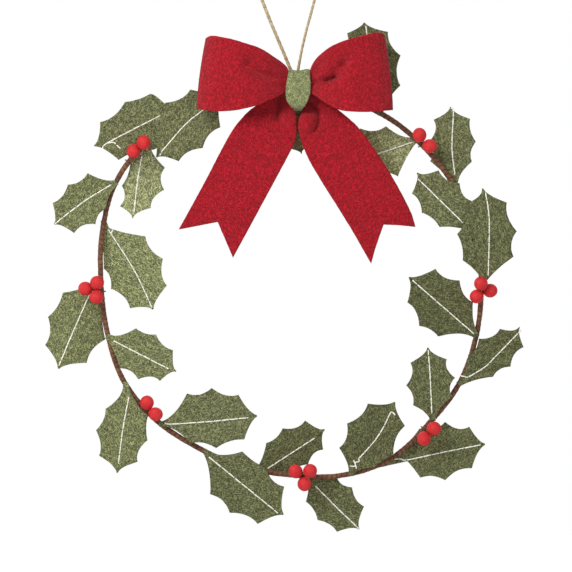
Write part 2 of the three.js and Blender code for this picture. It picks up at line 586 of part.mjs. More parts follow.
// A tail in its own frame: its neck at the origin, its end along its direction
function tailGeometry(tail) {
  const turn = THREE.MathUtils.degToRad(tail.points);
  const along = new THREE.Vector3(Math.cos(turn), 0, Math.sin(turn));
  const outer = new THREE.Vector3(-tail.side * along.z, 0, tail.side * along.x);
  const [corner, notch, point] = tail.endShares;
  const grid = [];
  for (let i = 0; i <= TAIL_ROWS; i += 1) {
    const row = [];
    for (let j = 0; j <= TAIL_COLUMNS; j += 1) {
      const inward = tail.side < 0 ? j / TAIL_COLUMNS : 1 - j / TAIL_COLUMNS;
      const end = inward < 0.5
        ? THREE.MathUtils.lerp(corner, notch, 2 * inward)
        : THREE.MathUtils.lerp(notch, point, 2 * inward - 1);
      const start = tail.outerShares[0][0];
      const share = THREE.MathUtils.lerp(start, end, (i / TAIL_ROWS) ** 1.4);
      const out = smoothValue(tail.outerShares, share);
      const inn = smoothValue(tail.innerShares, share);
      const across = TAIL_WIDTH * THREE.MathUtils.lerp(out, inn, inward);
      const gather = Math.sin(Math.PI * THREE.MathUtils.clamp((share - 0.07) / 0.5, 0, 1));
      const pleat = TAIL_PLEAT * gather * Math.cos(2 * Math.PI * TAIL_PLEAT_COUNT * (inward - 0.5));
      const forward = TAIL_BULGE * Math.sin(Math.PI * share) - pleat;
      row.push(new THREE.Vector3(0, -forward, 0)
        .addScaledVector(along, TAIL_LENGTH * share)
        .addScaledVector(outer, across));
    }
    grid.push(row);
  }
  return feltSheet(grid, FELT_THICKNESS);
}

// A rounded rectangle, front to back along X and up along Y
function roundedOutline(back, front, halfHeight, corner) {
  const points = [];
  const centres = [
    [front - corner, halfHeight - corner, 0],
    [back + corner, halfHeight - corner, 90],
    [back + corner, corner - halfHeight, 180],
    [front - corner, corner - halfHeight, 270],
  ];
  for (const [x, y, start] of centres) {
    for (let i = 0; i <= KNOT_CORNER_STEPS; i += 1) {
      const turn = THREE.MathUtils.degToRad(start + (90 * i) / KNOT_CORNER_STEPS);
      points.push(new THREE.Vector2(x + corner * Math.cos(turn), y + corner * Math.sin(turn)));
    }
  }
  return points;
}

// The knot band: a felt sleeve round the gathered necks, narrower at its foot
function knotGeometry() {
  const half = KNOT_HEIGHT / 2;
  const wall = FELT_THICKNESS;
  const section = new THREE.Shape(roundedOutline(KNOT_BACK, KNOT_FRONT, half, KNOT_CORNER));
  section.holes.push(new THREE.Path(
    roundedOutline(KNOT_BACK + wall, KNOT_FRONT - wall, half - wall, KNOT_CORNER - wall),
  ));
  const geometry = new THREE.ExtrudeGeometry(section, { depth: KNOT_WIDTH, steps: 1, bevelEnabled: false });
  const position = geometry.attributes.position;
  for (let i = 0; i < position.count; i += 1) {
    const width = smoothValue(KNOT_WIDTH_SHARES, position.getY(i) / half);
    position.setXYZ(i, (KNOT_WIDTH / 2 - position.getZ(i)) * width, -position.getX(i), position.getY(i));
  }
  geometry.computeVertexNormals();
  return geometry;
}

// The tie wire: through the band behind the necks, then round the ring on each side
function tieGeometry() {
  const hookRadius = SEAT + CLEARANCE + TIE_RADIUS;
  const angleAside = THREE.MathUtils.radToDeg(TIE_HALF_SPAN / RING_RADIUS);
  const hook = (way) => TIE_HOOK_ANGLES.map((degrees) => {
    const turn = THREE.MathUtils.degToRad(degrees);
    const centre = ringPoint(KNOT_ANGLE - way * angleAside);
    const outward = centre.clone().normalize();
    return centre.sub(knotCentre())
      .addScaledVector(outward, hookRadius * Math.sin(turn))
      .addScaledVector(new THREE.Vector3(0, -1, 0), hookRadius * Math.cos(turn));
  });
  const left = hook(-1).reverse();
  const right = hook(1);
  const route = [
    ...left,
    new THREE.Vector3(-KNOT_WIDTH / 2, -TIE_DEPTH, 0),
    new THREE.Vector3(0, -TIE_DEPTH, 0),
    new THREE.Vector3(KNOT_WIDTH / 2, -TIE_DEPTH, 0),
    ...right,
  ];
  return tube(new THREE.CatmullRomCurve3(route), TIE_RADIUS, TIE_SIDES, TIE_STEPS);
}

// The hitch: two turns of twine round the tape, side by side along the ring
function hitchGeometry() {
  const half = HITCH_WIDTH / 2;
  const valley = HITCH_RADIUS - TWINE_RADIUS / 2;
  const profile = [
    [SEAT, -half], [HITCH_RADIUS - TWINE_RADIUS / 3, -half], [HITCH_RADIUS, -half / 2], [valley, 0],
    [HITCH_RADIUS, half / 2], [HITCH_RADIUS - TWINE_RADIUS / 3, half], [SEAT, half], [SEAT, -half],
  ].map(([radius, along]) => new THREE.Vector2(radius, along));
  return new THREE.LatheGeometry(profile, HITCH_SIDES).rotateZ(Math.PI / 2);
}

// Everything that hangs on the ring, in a frame at the ring's centre
function buildWreath() {
  const wreath = new THREE.Group();
  wreath.position.copy(ringCentre());

  const gapAngle = THREE.MathUtils.radToDeg(RING_ENDS_GAP / RING_RADIUS);
  const ringPath = new RingPath(RING_ENDS_ANGLE + gapAngle / 2, RING_ENDS_ANGLE + 360 - gapAngle / 2);
  wreath.add(namedMesh('ring_wire', tube(ringPath, WIRE_RADIUS, STEM_SIDES, RING_STEPS), WIRE_STEEL));
  const tape = tube(ringPath, TAPE_RADIUS, RING_SIDES, RING_STEPS, WIRE_RADIUS + CLEARANCE);
  wreath.add(namedMesh('ring_tape', tape, TAPE_BROWN));

  LEAVES.forEach((leaf, i) => {
    wreath.add(leafMesh(leaf, `leaf_${String(i + 1).padStart(2, '0')}`));
  });

  let berryCount = 0;
  CLUSTERS.forEach((cluster, i) => {
    wreath.add(namedMesh(`berry_stem_${i + 1}`, stemGeometry(cluster), WIRE_GREEN));
    for (const berry of cluster.berries) {
      berryCount += 1;
      wreath.add(berryMesh(cluster, berry, `berry_${String(berryCount).padStart(2, '0')}`));
    }
  });

  wreath.add(buildBow());
  return wreath;
}

// The bow, in a frame at the knot's middle
function buildBow() {
  const bow = new THREE.Group();
  bow.position.copy(knotCentre());
  for (const loop of LOOPS) bow.add(namedMesh(`bow_loop_${loop.name}`, loopGeometry(loop), FELT_RED));
  for (const tail of TAILS) {
    const mesh = namedMesh(`bow_tail_${tail.name}`, tailGeometry(tail), FELT_RED);
    mesh.position.set(tail.side * CLEARANCE, -TAIL_DEPTH, -TAIL_DROP);
    bow.add(mesh);
  }
  bow.add(namedMesh('bow_knot_band', knotGeometry(), FELT_SAGE));
  bow.add(namedMesh('bow_tie_wire', tieGeometry(), WIRE_GREEN));
  return bow;
}

// The loop of twine and its hitch
function buildHanger() {
  const hanger = new THREE.Group();
  const route = new THREE.CatmullRomCurve3(TWINE_ROUTE_SHARES.map(
    ([aside, up]) => new THREE.Vector3(aside * TWINE_DROP, 0, up * TWINE_DROP),
  ));
  hanger.add(namedMesh('twine_loop', tube(route, TWINE_RADIUS, TWINE_SIDES, TWINE_STEPS), JUTE));
  const hitch = namedMesh('twine_hitch', hitchGeometry(), JUTE);
  hitch.position.copy(ringPoint(HITCH_ANGLE)).add(ringCentre());
  hanger.add(hitch);
  return hanger;
}

const part = new THREE.Group();
part.add(buildHanger());
part.add(buildWreath());
export default part;
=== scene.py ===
# Holly wreath: stitched felt leaves, matt berries and a felt bow on a taped wire ring, hung by twine.
# Sizes are in millimetres, and turn to metres where a mesh is made. A name ending in NOISE holds the
# height of an unevenness and its waves to a millimetre, and one ending in SHARE a part of a size.
import json
import math

import bpy
from mathutils import Matrix, Vector, noise


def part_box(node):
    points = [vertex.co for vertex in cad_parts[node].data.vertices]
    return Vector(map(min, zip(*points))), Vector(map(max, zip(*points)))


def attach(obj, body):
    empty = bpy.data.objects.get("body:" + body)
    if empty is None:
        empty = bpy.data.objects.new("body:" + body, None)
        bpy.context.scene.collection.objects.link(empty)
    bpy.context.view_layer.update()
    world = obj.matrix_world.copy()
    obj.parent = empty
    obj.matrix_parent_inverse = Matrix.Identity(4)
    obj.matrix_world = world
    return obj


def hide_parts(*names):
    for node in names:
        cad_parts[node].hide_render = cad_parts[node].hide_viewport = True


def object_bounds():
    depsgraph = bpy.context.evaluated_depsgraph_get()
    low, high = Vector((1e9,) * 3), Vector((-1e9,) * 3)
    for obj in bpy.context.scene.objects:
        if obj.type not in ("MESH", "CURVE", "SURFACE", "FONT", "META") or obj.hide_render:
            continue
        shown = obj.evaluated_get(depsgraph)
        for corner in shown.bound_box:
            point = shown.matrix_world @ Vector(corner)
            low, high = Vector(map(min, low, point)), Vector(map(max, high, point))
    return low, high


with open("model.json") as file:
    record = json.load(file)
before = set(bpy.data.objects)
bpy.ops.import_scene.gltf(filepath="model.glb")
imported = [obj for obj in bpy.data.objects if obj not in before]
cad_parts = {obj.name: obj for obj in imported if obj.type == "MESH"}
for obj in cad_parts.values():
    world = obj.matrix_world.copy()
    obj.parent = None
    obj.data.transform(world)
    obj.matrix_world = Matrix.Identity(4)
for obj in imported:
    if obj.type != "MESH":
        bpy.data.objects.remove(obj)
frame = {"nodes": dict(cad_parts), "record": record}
cad_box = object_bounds()
MM = 0.001
NOISE_SEED = 1
noise.seed_set(NOISE_SEED)

# Clearance and stock sizes
CLEARANCE = 0.3
WIRE_RADIUS = 1.0
TAPE_THICKNESS = 0.45
TWINE_RADIUS = 1.0
TIE_RADIUS = 0.45
FELT_THICKNESS = 1.3
LEAF_THICKNESS = 1.4
THREAD_RADIUS = 0.4

# Cut edges of the felt, rounded, rough, and slanted by the die
EDGE_ROUNDING = 0.4
EDGE_ROUNDING_LEAST = 0.02
EDGE_SLANT = 0.36
EDGE_NOISE = (0.24, 1.1)
EDGE_REACH_SHARE = 0.7
RIM_NOISE = (0.144, 1.3)
SHARP_DEGREES = 50

# Ring and the tape round it
RING_RADIUS = 120.0
RING_ENDS_GAP = 1.0
RING_ENDS_ANGLE = 93.0
RING_RADIUS_SHARES = [
    0.988, 0.997, 0.989, 0.989, 0.997, 0.994, 0.987, 0.999, 1.028, 1.043, 1.041, 1.005,
    0.976, 0.977, 0.995, 0.987, 0.971, 0.975, 0.987, 1.024, 1.042, 1.017, 1.014, 0.998,
]
TAPE_PITCH = 3.1
TAPE_LAP = 0.16
TAPE_WANDER_NOISE = (0.18, 0.16)
TAPE_LUMP_NOISE = (0.1, 0.45)
TAPE_SUNK = 0.204
TAPE_STEPS = 7
TAPE_SIDES = 16

# Twine, from the peg to its hitch on the ring
TWINE_DROP = 108.8
TWINE_ASIDE = 5.9
TWINE_LAY = 7.0
TWINE_CORE_SHARE = 0.74
TWINE_SWELL_SHARES = (1.12, 0.84)
TWINE_NOISE = (0.14, 0.07)
TWINE_STEP = 0.5
TWINE_SIDES = 16
HITCH_ANGLE = 88.5
HITCH_GAP = 0.3
HITCH_SLIDE = 0.25
HITCH_TWINE_SHARE = 0.98
HITCH_STEPS = 48
HITCH_SIDES = 12
CURVE_STEPS = 8

# Leaves
LEAF_LENGTH = 56.0
LEAF_NECK_HALF = 1.7
LEAF_TIP_HALF = 0.4
LEAF_TUCK = 1.2
LEAF_SCALLOP = 2.4
LEAF_FOLD_RADIUS = 2.0
LEAF_NOISE = (1.6, 0.07)
LEAF_NOISE_SHARES = (0.1, 1 / 3)
LEAF_LIFT = 1.2
LEAF_LIFT_SHARE = 0.6
LEAF_ROWS = 40
LEAF_COLUMN_SHARES = (1, 0.93, 0.8, 0.6, 0.4, 0.2, 0, -0.2, -0.4, -0.6, -0.8, -0.93, -1)
LEAF_SEED_STEP = 7.3

# Stitches, with the thread's height over the felt in thread radii
STITCH_PITCH = 5.2
STITCH_TOP_SHARE = 0.7
STITCH_HOLE_SHARE = -1.7
THREAD_WANDER_NOISE = (0.12, 0.3)
THREAD_SWELL_NOISE = (0.3, 0.35)
THREAD_STEP = 0.45
THREAD_SIDES = 8

# Berries
BERRY_RADIUS = 4.3
BERRY_HALF_LENGTH = 4.6
BERRY_HOLE_RADIUS = 0.7
BERRY_HOLE_DEPTH = 2.4
BERRY_NOISE = (0.006, 0.35)
BERRY_SIDES = 28
BERRY_RINGS = 18

# Bow
KNOT_ANGLE = 87.8
KNOT_RISE = 3.3
KNOT_HEIGHT = 22.5
KNOT_WIDTH = 15.6
KNOT_CORNER = 4.0
KNOT_SAG = 2.3
KNOT_BACK_SAG = 4.4
KNOT_BACK_SPREAD = 2.0
KNOT_SPREAD_SHARE = 0.2
KNOT_TOP_DIP = 1.0
KNOT_DIP_SHARE = 0.8
KNOT_BULGE = 0.35
KNOT_CROWN = 0.5
KNOT_NOISE = (0.25, 0.25)
KNOT_NOISE_WIDTH = 16.0
KNOT_SEAM_GAP = 0.3
NECK_ROOM = 2.0
LOOP_HEIGHT = 44.0
LOOP_PUFF = 17.0
LOOP_BACK = 8.5
LOOP_GATHER = 0.5
LOOP_GATHERS = 5
LOOP_NOISE = (0.35, 0.06)
TAIL_LENGTH = 107.0
TAIL_WIDTH = 37.0
TAIL_DROP = 4.3
TAIL_BULGE = 4.0
TAIL_NOISE = (0.5, 0.04)
TAIL_TURN = 13.0
TAIL_TURN_ROOM = 5.0

# Rows and columns of the bow's sheets
LOOP_STEPS = 10
LOOP_COLUMNS = 44
TAIL_ROWS = 90
TAIL_ROW_POWER = 1.15
TAIL_COLUMNS = 36
KNOT_CORNER_STEPS = 12
KNOT_COLUMNS = 24

# Sizes that follow from those above
TAPE_RADIUS = WIRE_RADIUS + CLEARANCE + TAPE_THICKNESS
SEAT = TAPE_RADIUS + CLEARANCE
HITCH_RADIUS = SEAT + 2 * TWINE_RADIUS
TWINE_BEHIND = SEAT + TWINE_RADIUS
KNOT_BACK = HITCH_RADIUS + CLEARANCE
TIE_DEPTH = KNOT_BACK + FELT_THICKNESS + CLEARANCE + TIE_RADIUS
TAIL_DEPTH = TIE_DEPTH + TIE_RADIUS + CLEARANCE + (FELT_THICKNESS + NECK_ROOM) / 2
NECK_PITCH = FELT_THICKNESS + NECK_ROOM + CLEARANCE
LOOP_NECK_BACK = TAIL_DEPTH + NECK_PITCH
LOOP_NECK_FRONT = LOOP_NECK_BACK + NECK_PITCH
KNOT_FRONT = LOOP_NECK_FRONT + (FELT_THICKNESS + NECK_ROOM) / 2 + CLEARANCE + FELT_THICKNESS

# The photograph's frame at the wreath, and the studio
VIEW_WIDTH = 354.6
VIEW_CENTRE = (0.3, -228.5)
VIEW_DISTANCE = 7000.0
SENSOR_WIDTH = 36.0
FLOOR_HALF = 2500.0
FLOOR_BELOW = 60.0
LAMP_AIM = (0, 0, -230)
SOFT_LIGHT = 0.48
FLOOR_LIFT = 0.54

# Lamps: name, place, size and power
LAMPS = [
    ("key", (-640, -900, 440), 450, 10.6),
    ("fill", (900, -1100, -200), 1200, 3.4),
    ("back", (100, 1100, 400), 1000, 4.0),
]

# Twine centreline as [aside, up] shares of the drop
TWINE_ROUTE_SHARES = [
    [0.044, -0.965], [0.039, -0.915], [0.029, -0.869], [0.004, -0.807], [-0.02, -0.749],
    [-0.054, -0.669], [-0.095, -0.57], [-0.133, -0.471], [-0.168, -0.377], [-0.199, -0.285],
    [-0.218, -0.198], [-0.205, -0.116], [-0.157, -0.051], [-0.084, -0.006], [0, 0.009],
    [0.084, -0.006], [0.157, -0.051], [0.205, -0.116], [0.221, -0.198], [0.213, -0.285],
    [0.191, -0.377], [0.165, -0.471], [0.141, -0.562], [0.12, -0.638], [0.097, -0.735],
    [0.082, -0.809], [0.071, -0.875], [0.067, -0.917], [0.065, -0.965],
]

# Each leaf: ring angle, distance off the wire, direction, length, side of the wire, layer, lean, fold;
# right and left spines as [along, across, depth of the scallop before] shares; stitched line; shade
# of felt, partly its own tone and partly painted light and shade; and any loose threads
LEAVES = [
    (125.3, 0.12, 205, 0.9, 1, 1, 0, 0, [[0.11, 0.29, -1.1], [0.43, 0.33, 0.4], [0.81, 0.235]],
     [[0.24, 0.32], [0.5, 0.265, -1.2], [0.8, 0.285, 0.1]],
     [[0.07, -0.006], [0.5, -0.02], [0.86, -0.04], [0.92, -0.08]], 2,
     [[0.83, -0.04], [0.77, -0.06], [0.75, -0.09]], [[0.745, -0.11], [0.72, -0.17]]),
    (110.3, 0.1, 226, 1, 1, 2, 0, 0,
     [[0.2, 0.25], [0.5, 0.35], [0.75, 0.32]], [[0.27, 0.28], [0.57, 0.3], [0.86, 0.21]],
     [[0.1, -0.01], [0.27, -0.008], [0.5, 0.02], [0.85, 0.005], [0.96, -0.012]], 2),
    (135, 0, 259, 0.87, -1, 1, 4, 0.12,
     [[0.1, 0.14, 0], [0.29, 0.165, 0], [0.62, 0.21, 0.6], [0.88, 0.185]],
     [[0.29, 0.285, 1.3], [0.57, 0.325], [0.83, 0.205]],
     [[0.12, 0.03], [0.24, 0.035], [0.6, 0.02], [0.92, -0.006]], 5),
    (150, 0, 214, 0.82, 1, 1, 6, 0.1, [[0.24, 0.32], [0.55, 0.34, 0.8], [0.86, 0.25, 0.8]],
     [[0.31, 0.22, 0.9], [0.54, 0.31, 0.8], [0.84, 0.25]],
     [[0.06, 0.014], [0.5, 0.03], [0.99, 0]], 3),
    (161.4, 0, 299, 1.12, -1, 1, 5, 0.08, [[0.41, 0.23, 0.2], [0.62, 0.265, 0.8], [0.88, 0.195]],
     [[0.08, 0.01, 0], [0.33, 0.285, 0.4], [0.61, 0.33], [0.86, 0.235]],
     [[0.08, 0.004], [0.58, -0.026], [0.98, 0.002]], 4, [[0.13, 0], [0.13, -0.018], [0.11, -0.036]]),
    (179.2, 0, 244, 1.08, -1, 1, 3, 0.1, [[0.28, 0.3], [0.57, 0.33, 0.7], [0.84, 0.23]],
     [[0.25, 0.13, 0.3], [0.52, 0.3, 0.3], [0.82, 0.235]],
     [[0.14, 0.045], [0.21, 0.045], [0.6, 0.03], [0.97, 0.009]], 3),
    (196.2, 0, 333, 0.85, 1, 1, 7, 0.12, [[0.33, 0.295, 0.6], [0.61, 0.315, 0.8], [0.87, 0.205]],
     [[0.28, 0.265, 1.3], [0.55, 0.31, 0.6], [0.84, 0.23, 0.8]], [[0.09, 0.015], [0.9, 0.015]], 3),
    (211.2, 0, 265, 0.99, 1, 1, 4, 0.08, [[0.3, 0.195, 1.5], [0.55, 0.28, 0.7], [0.83, 0.22, 0.8]],
     [[0.34, 0.285], [0.61, 0.305, 0.4], [0.86, 0.215]],
     [[0.14, -0.055], [0.5, -0.02], [0.9, -0.004]], 3),
    (227.4, 0, 5, 1.07, 1, 1, 5, 0.1, [[0.29, 0.225, 1.5], [0.55, 0.295, 0.8], [0.85, 0.23, 0.7]],
     [[0.3, 0.295, 1.6], [0.56, 0.33], [0.83, 0.235]],
     [[0.05, -0.019], [0.09, 0.006], [0.5, 0.015], [0.91, 0.01]], 2),
    (243.5, 0, 321, 1.1, 1, 1, 3, 0.08, [[0.3, 0.305], [0.57, 0.325], [0.86, 0.235]],
     [[0.28, 0.235, 1.6], [0.57, 0.255, 0.4], [0.83, 0.225]], [[0.05, 0.021], [0.95, 0.022]], 1),
    (260.6, 0, 32, 0.86, -1, 1, 6, 0.12, [[0.31, 0.22, 0.6], [0.58, 0.27, 0.5], [0.85, 0.21]],
     [[0.27, 0.25, 0.5], [0.55, 0.3, 0.7], [0.85, 0.23]], [[0.1, 0.036], [0.83, 0.026]], 0),
    (275.9, 0, 313, 0.8, -1, 1, 4, 0.1, [[0.22, 0.28, 0.7], [0.52, 0.335, 0.6], [0.82, 0.25, 0.7]],
     [[0.27, 0.265, 0.8], [0.51, 0.325, 0.8], [0.82, 0.265, 0.8]],
     [[0.14, 0.034], [0.6, 0.02], [0.99, -0.002]], 1),
    (288, 0, 59, 0.93, 1, 1, 6, 0.1,
     [[0.2, 0.19], [0.45, 0.31, 0.2], [0.82, 0.25]], [[0.19, 0.285], [0.49, 0.355], [0.82, 0.265]],
     [[0.2, -0.019], [0.48, 0.034], [0.68, 0.04], [0.86, 0.024], [0.88, 0.05], [0.87, 0.088]], 0,
     [[0.2, -0.019], [0.17, 0], [0.14, -0.03], [0.1, -0.01], [0.07, -0.06]],
     [[0.15, -0.06], [0.12, -0.02], [0.08, 0.02]]),
    (295.9, 0, 11, 1.21, -1, 1, 3, 0.08,
     [[0.27, 0.018, 0], [0.36, 0.19, 0.3], [0.58, 0.255, 0.8], [0.84, 0.195]],
     [[0.44, 0.255, 1.5], [0.68, 0.27, 1.2], [0.89, 0.185, 1.2]],
     [[0.12, -0.03], [0.21, -0.017], [0.28, 0.005], [0.62, -0.001], [0.96, -0.001]], 1),
    (316.5, 0, 94, 0.8, 1, 1, 6, 0.12,
     [[0.3, 0.295], [0.56, 0.345], [0.82, 0.25]], [[0.22, 0.26], [0.5, 0.335, 0.8], [0.81, 0.255]],
     [[0.08, -0.007], [0.6, 0.005], [0.97, 0.004]], 1),
    (329.7, 0, 43, 0.91, 1, 1, 4, 0.1, [[0.35, 0.22, 0.5], [0.59, 0.275, 0.8], [0.87, 0.21]],
     [[0.31, 0.18], [0.54, 0.235, 0.8], [0.81, 0.15]],
     [[0.065, -0.06], [0.09, -0.03], [0.14, 0.021], [0.36, 0.066], [0.53, 0.063], [0.99, 0.039]], 0),
    (344.4, 0, 139, 0.99, 1, 1, 4, 0.08, [[0.28, 0.26], [0.55, 0.345], [0.84, 0.265]],
     [[0.32, 0.285, 1.4], [0.56, 0.335, 0.6], [0.83, 0.225]], [[0.03, 0], [0.95, 0.001]], 0),
    (1.5, 0.03, 91, 1, 1, 2, 1, 0.04, [[0.24, 0.33, 0.5], [0.52, 0.37], [0.84, 0.265]],
     [[0.21, 0.235, 0.8], [0.5, 0.29, 0.6], [0.85, 0.145]],
     [[0.03, 0.046], [0.65, 0.068], [0.97, 0.029]], 1),
    (15.7, 0, 135, 0.92, 1, 1, 0, 0, [[0.3, 0.225], [0.55, 0.275], [0.84, 0.205]],
     [[0.35, 0.27], [0.62, 0.3, 0.6], [0.87, 0.22, 0.8]], [[0.18, -0.034], [0.94, -0.043]], 2),
    (29.6, 0, 94, 0.92, -1, 1, 4, 0.1, [[0.32, 0.21, 1.6], [0.56, 0.275, 0.8], [0.84, 0.225, 0.7]],
     [[0.36, 0.29], [0.61, 0.275, 0.8], [0.86, 0.215]],
     [[0.17, -0.006], [0.51, -0.018], [0.93, 0.029], [0.98, 0.003]], 2),
    (49.2, 0, 198, 0.9, -1, 1, 5, 0.08, [[0.3, 0.26, 1.5], [0.61, 0.33], [0.84, 0.22]],
     [[0.35, 0.375, 0.6], [0.61, 0.29], [0.84, 0.22]],
     [[0.04, -0.029], [0.51, -0.033], [0.9, -0.02]], 5),
    (62.2, 0, 100, 1.02, -1, 1, 3, 0.08,
     [[0.26, 0.27], [0.58, 0.33], [0.86, 0.24]], [[0.26, 0.27], [0.58, 0.33], [0.92, 0.2]],
     [[0.15, 0.01], [0.6, 0], [0.96, 0.014]], 1),
    (85.3, 0, 266, 0.67, -1, 1, 4, 0.06,
     [[0.34, 0.22], [0.62, 0.27], [0.92, 0.25, 0.6]], [[0.34, 0.2], [0.56, 0.25], [0.84, 0.2]],
     [[0.15, 0], [0.7, 0]], 3),
    (100.2, 0, 165, 0.66, -1, 1, 4, 0.08,
     [[0.24, 0.26], [0.51, 0.31], [0.83, 0.23]], [[0.24, 0.26], [0.51, 0.31], [0.83, 0.23]],
     [[0.15, 0], [0.95, 0]], 2),
]


# The bow's loops: reach, top and bottom edges as [out, height] shares of reach and loop height, and
# creases as lines of (aside, up) from the knot with a depth and a width
LOOPS = [
    ("left", -1, 1.4,
     [[0, 0.185], [0.084, 0.205], [0.108, 0.276], [0.14, 0.322], [0.18, 0.37], [0.235, 0.42],
      [0.309, 0.488], [0.4, 0.554], [0.492, 0.593], [0.676, 0.664], [0.858, 0.712], [0.951, 0.722],
      [1, 0.7]],
     [[0, -0.07], [0.12, -0.07], [0.196, -0.125], [0.281, -0.178], [0.414, -0.258], [0.53, -0.298],
      [0.648, -0.327], [0.797, -0.337], [0.948, -0.318], [1, -0.3]],
     [([(-29.5, 14.5), (-27, 12), (-23.5, 10)], 4.4, 3.8),
      ([(-24, 9.8), (-20, 8), (-16, 6.6)], 5.4, 2.6),
      ([(-15, 6.2), (-9.5, 5.6)], 2.6, 2.2)]),
    ("right", 1, 1.33,
     [[0, 0.185], [0.13, 0.2], [0.155, 0.29], [0.195, 0.383], [0.253, 0.465], [0.351, 0.558],
      [0.467, 0.628], [0.602, 0.682], [0.795, 0.74], [0.93, 0.768], [1, 0.752]],
     [[0, -0.07], [0.12, -0.075], [0.16, -0.09], [0.214, -0.142], [0.285, -0.205], [0.374, -0.277],
      [0.46, -0.323], [0.585, -0.342], [0.76, -0.345], [1, -0.322]],
     [([(29, 14.6), (25.5, 11), (22.5, 7.6)], 4.8, 3.6),
      ([(23, 6.2), (21, 5.2), (18.4, 4.4)], 9, 3),
      ([(16.6, 4.2), (10.5, 2.6)], 3.6, 2.2)]),
]
LOOP_TOP_REACH_SHARE = 0.91
LOOP_LEAN_POWER = 1.6
LOOP_NECK_SHARES = (0.01, 0.125)
LOOP_GATHER_SHARES = (0.12, 0.3)
LOOP_PLAN_SHARES = [
    (0.36, 0.29), (0.62, 0.1), (0.86, 0), (0.97, 0.1), (1, 0.3), (0.97, 0.55), (0.84, 0.84),
    (0.58, 1), (0.34, 0.86),
]

# The bow's tails: direction, outer and inner edges as [along, across] shares, ends of corner, notch
# and point, creases, and a rolled lobe as a line with a height and a radius
TAILS = [
    ("left", -1, 241.6,
     [[0.014, 0.11], [0.056, 0.27], [0.13, 0.455], [0.256, 0.605], [0.378, 0.665], [0.7, 0.658],
      [1, 0.664]],
     [[0.014, 0.01], [0.042, 0.04], [0.071, -0.02], [0.101, -0.125], [0.127, -0.19],
      [0.159, -0.247], [0.207, -0.315], [0.25, -0.35], [0.326, -0.36], [0.69, -0.362], [1, -0.36]],
     (1.014, 0.868, 1.008),
     [([(-9.9, -7.3), (-11.6, -13.5), (-12.6, -18.7)], 3.4, 2.2)],
     ([(-6.5, -12), (-4.5, -19)], 2.4, 6.2)),
    ("right", 1, 298.7,
     [[0.014, 0.11], [0.056, 0.26], [0.12, 0.36], [0.17, 0.44], [0.22, 0.505], [0.338, 0.622],
      [0.528, 0.693], [0.716, 0.724], [0.916, 0.711], [1, 0.662]],
     [[0.014, 0.01], [0.042, 0.07], [0.07, 0.04], [0.093, -0.045], [0.119, -0.15], [0.145, -0.22],
      [0.174, -0.267], [0.214, -0.303], [0.274, -0.341], [0.4, -0.366], [0.81, -0.303],
      [1.06, -0.286]],
     (1, 0.9, 1.063),
     [([(8.4, -9.4), (12.8, -15.5), (13.2, -20.6), (10.5, -25.8)], 3, 2.2)],
     ([(4.4, -13), (5, -21)], 4.4, 8.2)),
]
TAIL_NECK_SHARES = (0.04, 0.12)

# The knot band's left and right edges as [height from its middle, aside] shares
KNOT_EDGE_SHARES = {
    -1: [[-1.4, 0], [-1.2, -0.22], [-1, -0.55], [-0.74, -0.83], [-0.28, -0.94], [0.54, -0.79],
         [1, -0.6]],
    1: [[-1.4, 0.2], [-1.2, 0.36], [-0.84, 0.76], [-0.37, 1.01], [0.08, 1.07], [1, 0.98]],
}


# Numbers and lines
def lerp(a, b, share):
    return a + (b - a) * share


def grown(value, start, room):
    """0 up to start, 1 once room is passed, and evenly between."""
    return min(max((value - start) / room, 0), 1)


def even_shares(count):
    return [k / count for k in range(count + 1)]


def uneven(size, place, *seeds):
    """A height of noise at a place in millimetres; size is its height and its waves to a millimetre."""
    height, waves = size
    return height * noise.noise(Vector([x * waves for x in place] + list(seeds)))


def smooth_value(table, x):
    """The value at x of a smooth line through a table of (x, value)."""
    last = len(table) - 1
    k = 0
    while k < last - 1 and x > table[k + 1][0]:
        k += 1

    def slope(i):
        before, after = table[max(i - 1, 0)], table[min(i + 1, last)]
        return (after[1] - before[1]) / (after[0] - before[0])

    (x0, y0), (x1, y1) = table[k], table[k + 1]
    span = x1 - x0
    t = grown(x, x0, span)
    eased = y0 + (y1 - y0) * t * t * (3 - 2 * t)
    return eased + span * (t * (1 - t) ** 2 * slope(k) - t * t * (1 - t) * slope(k + 1))


def smooth_line(points, steps):
    """Points of a smooth line through the given ones, with steps to each stretch."""
    points = [Vector(point) for point in points]
    line = []
    for i, (b, c) in enumerate(zip(points, points[1:])):
        a = points[max(i - 1, 0)]
        d = points[min(i + 2, len(points) - 1)]
        for k in range(steps):
            t = k / steps
            curve = 2 * a - 5 * b + 4 * c - d + t * (3 * b - a - 3 * c + d)
            line.append(b + 0.5 * t * (c - a + t * curve))
    return line + [points[-1].copy()]


def lengths_along(line):
    """The length of a line up to each of its points."""
    lengths = [0.0]
    for a, b in zip(line, line[1:]):
        lengths.append(lengths[-1] + (b - a).length)
    return lengths


def evenly(points, step):
    """The same line with its points a step apart."""
    lengths = lengths_along(points)
    count = max(2, round(lengths[-1] / step))
    gap = lengths[-1] / count
    spaced = [points[0].copy()]
    for walked, a, b in zip(lengths, points, points[1:]):
        reach = (b - a).length
        while reach and len(spaced) < count and walked + reach >= gap * len(spaced):
            spaced.append(a.lerp(b, (gap * len(spaced) - walked) / reach))
    return spaced + [points[-1].copy()]


def distance_to_line(point, corners):
    def distance(a, b):
        share = grown((point - a).dot(b - a), 0, (b - a).length_squared)
        return (point - a - (b - a) * share).length

    line = [Vector(corner) for corner in corners]
    return min(distance(a, b) for a, b in zip(line, line[1:]))


# Places on the ring
STATIONS = len(RING_RADIUS_SHARES)
RING_TABLE = [(i * 360 / STATIONS, RING_RADIUS_SHARES[i % STATIONS]) for i in range(-1, STATIONS + 2)]


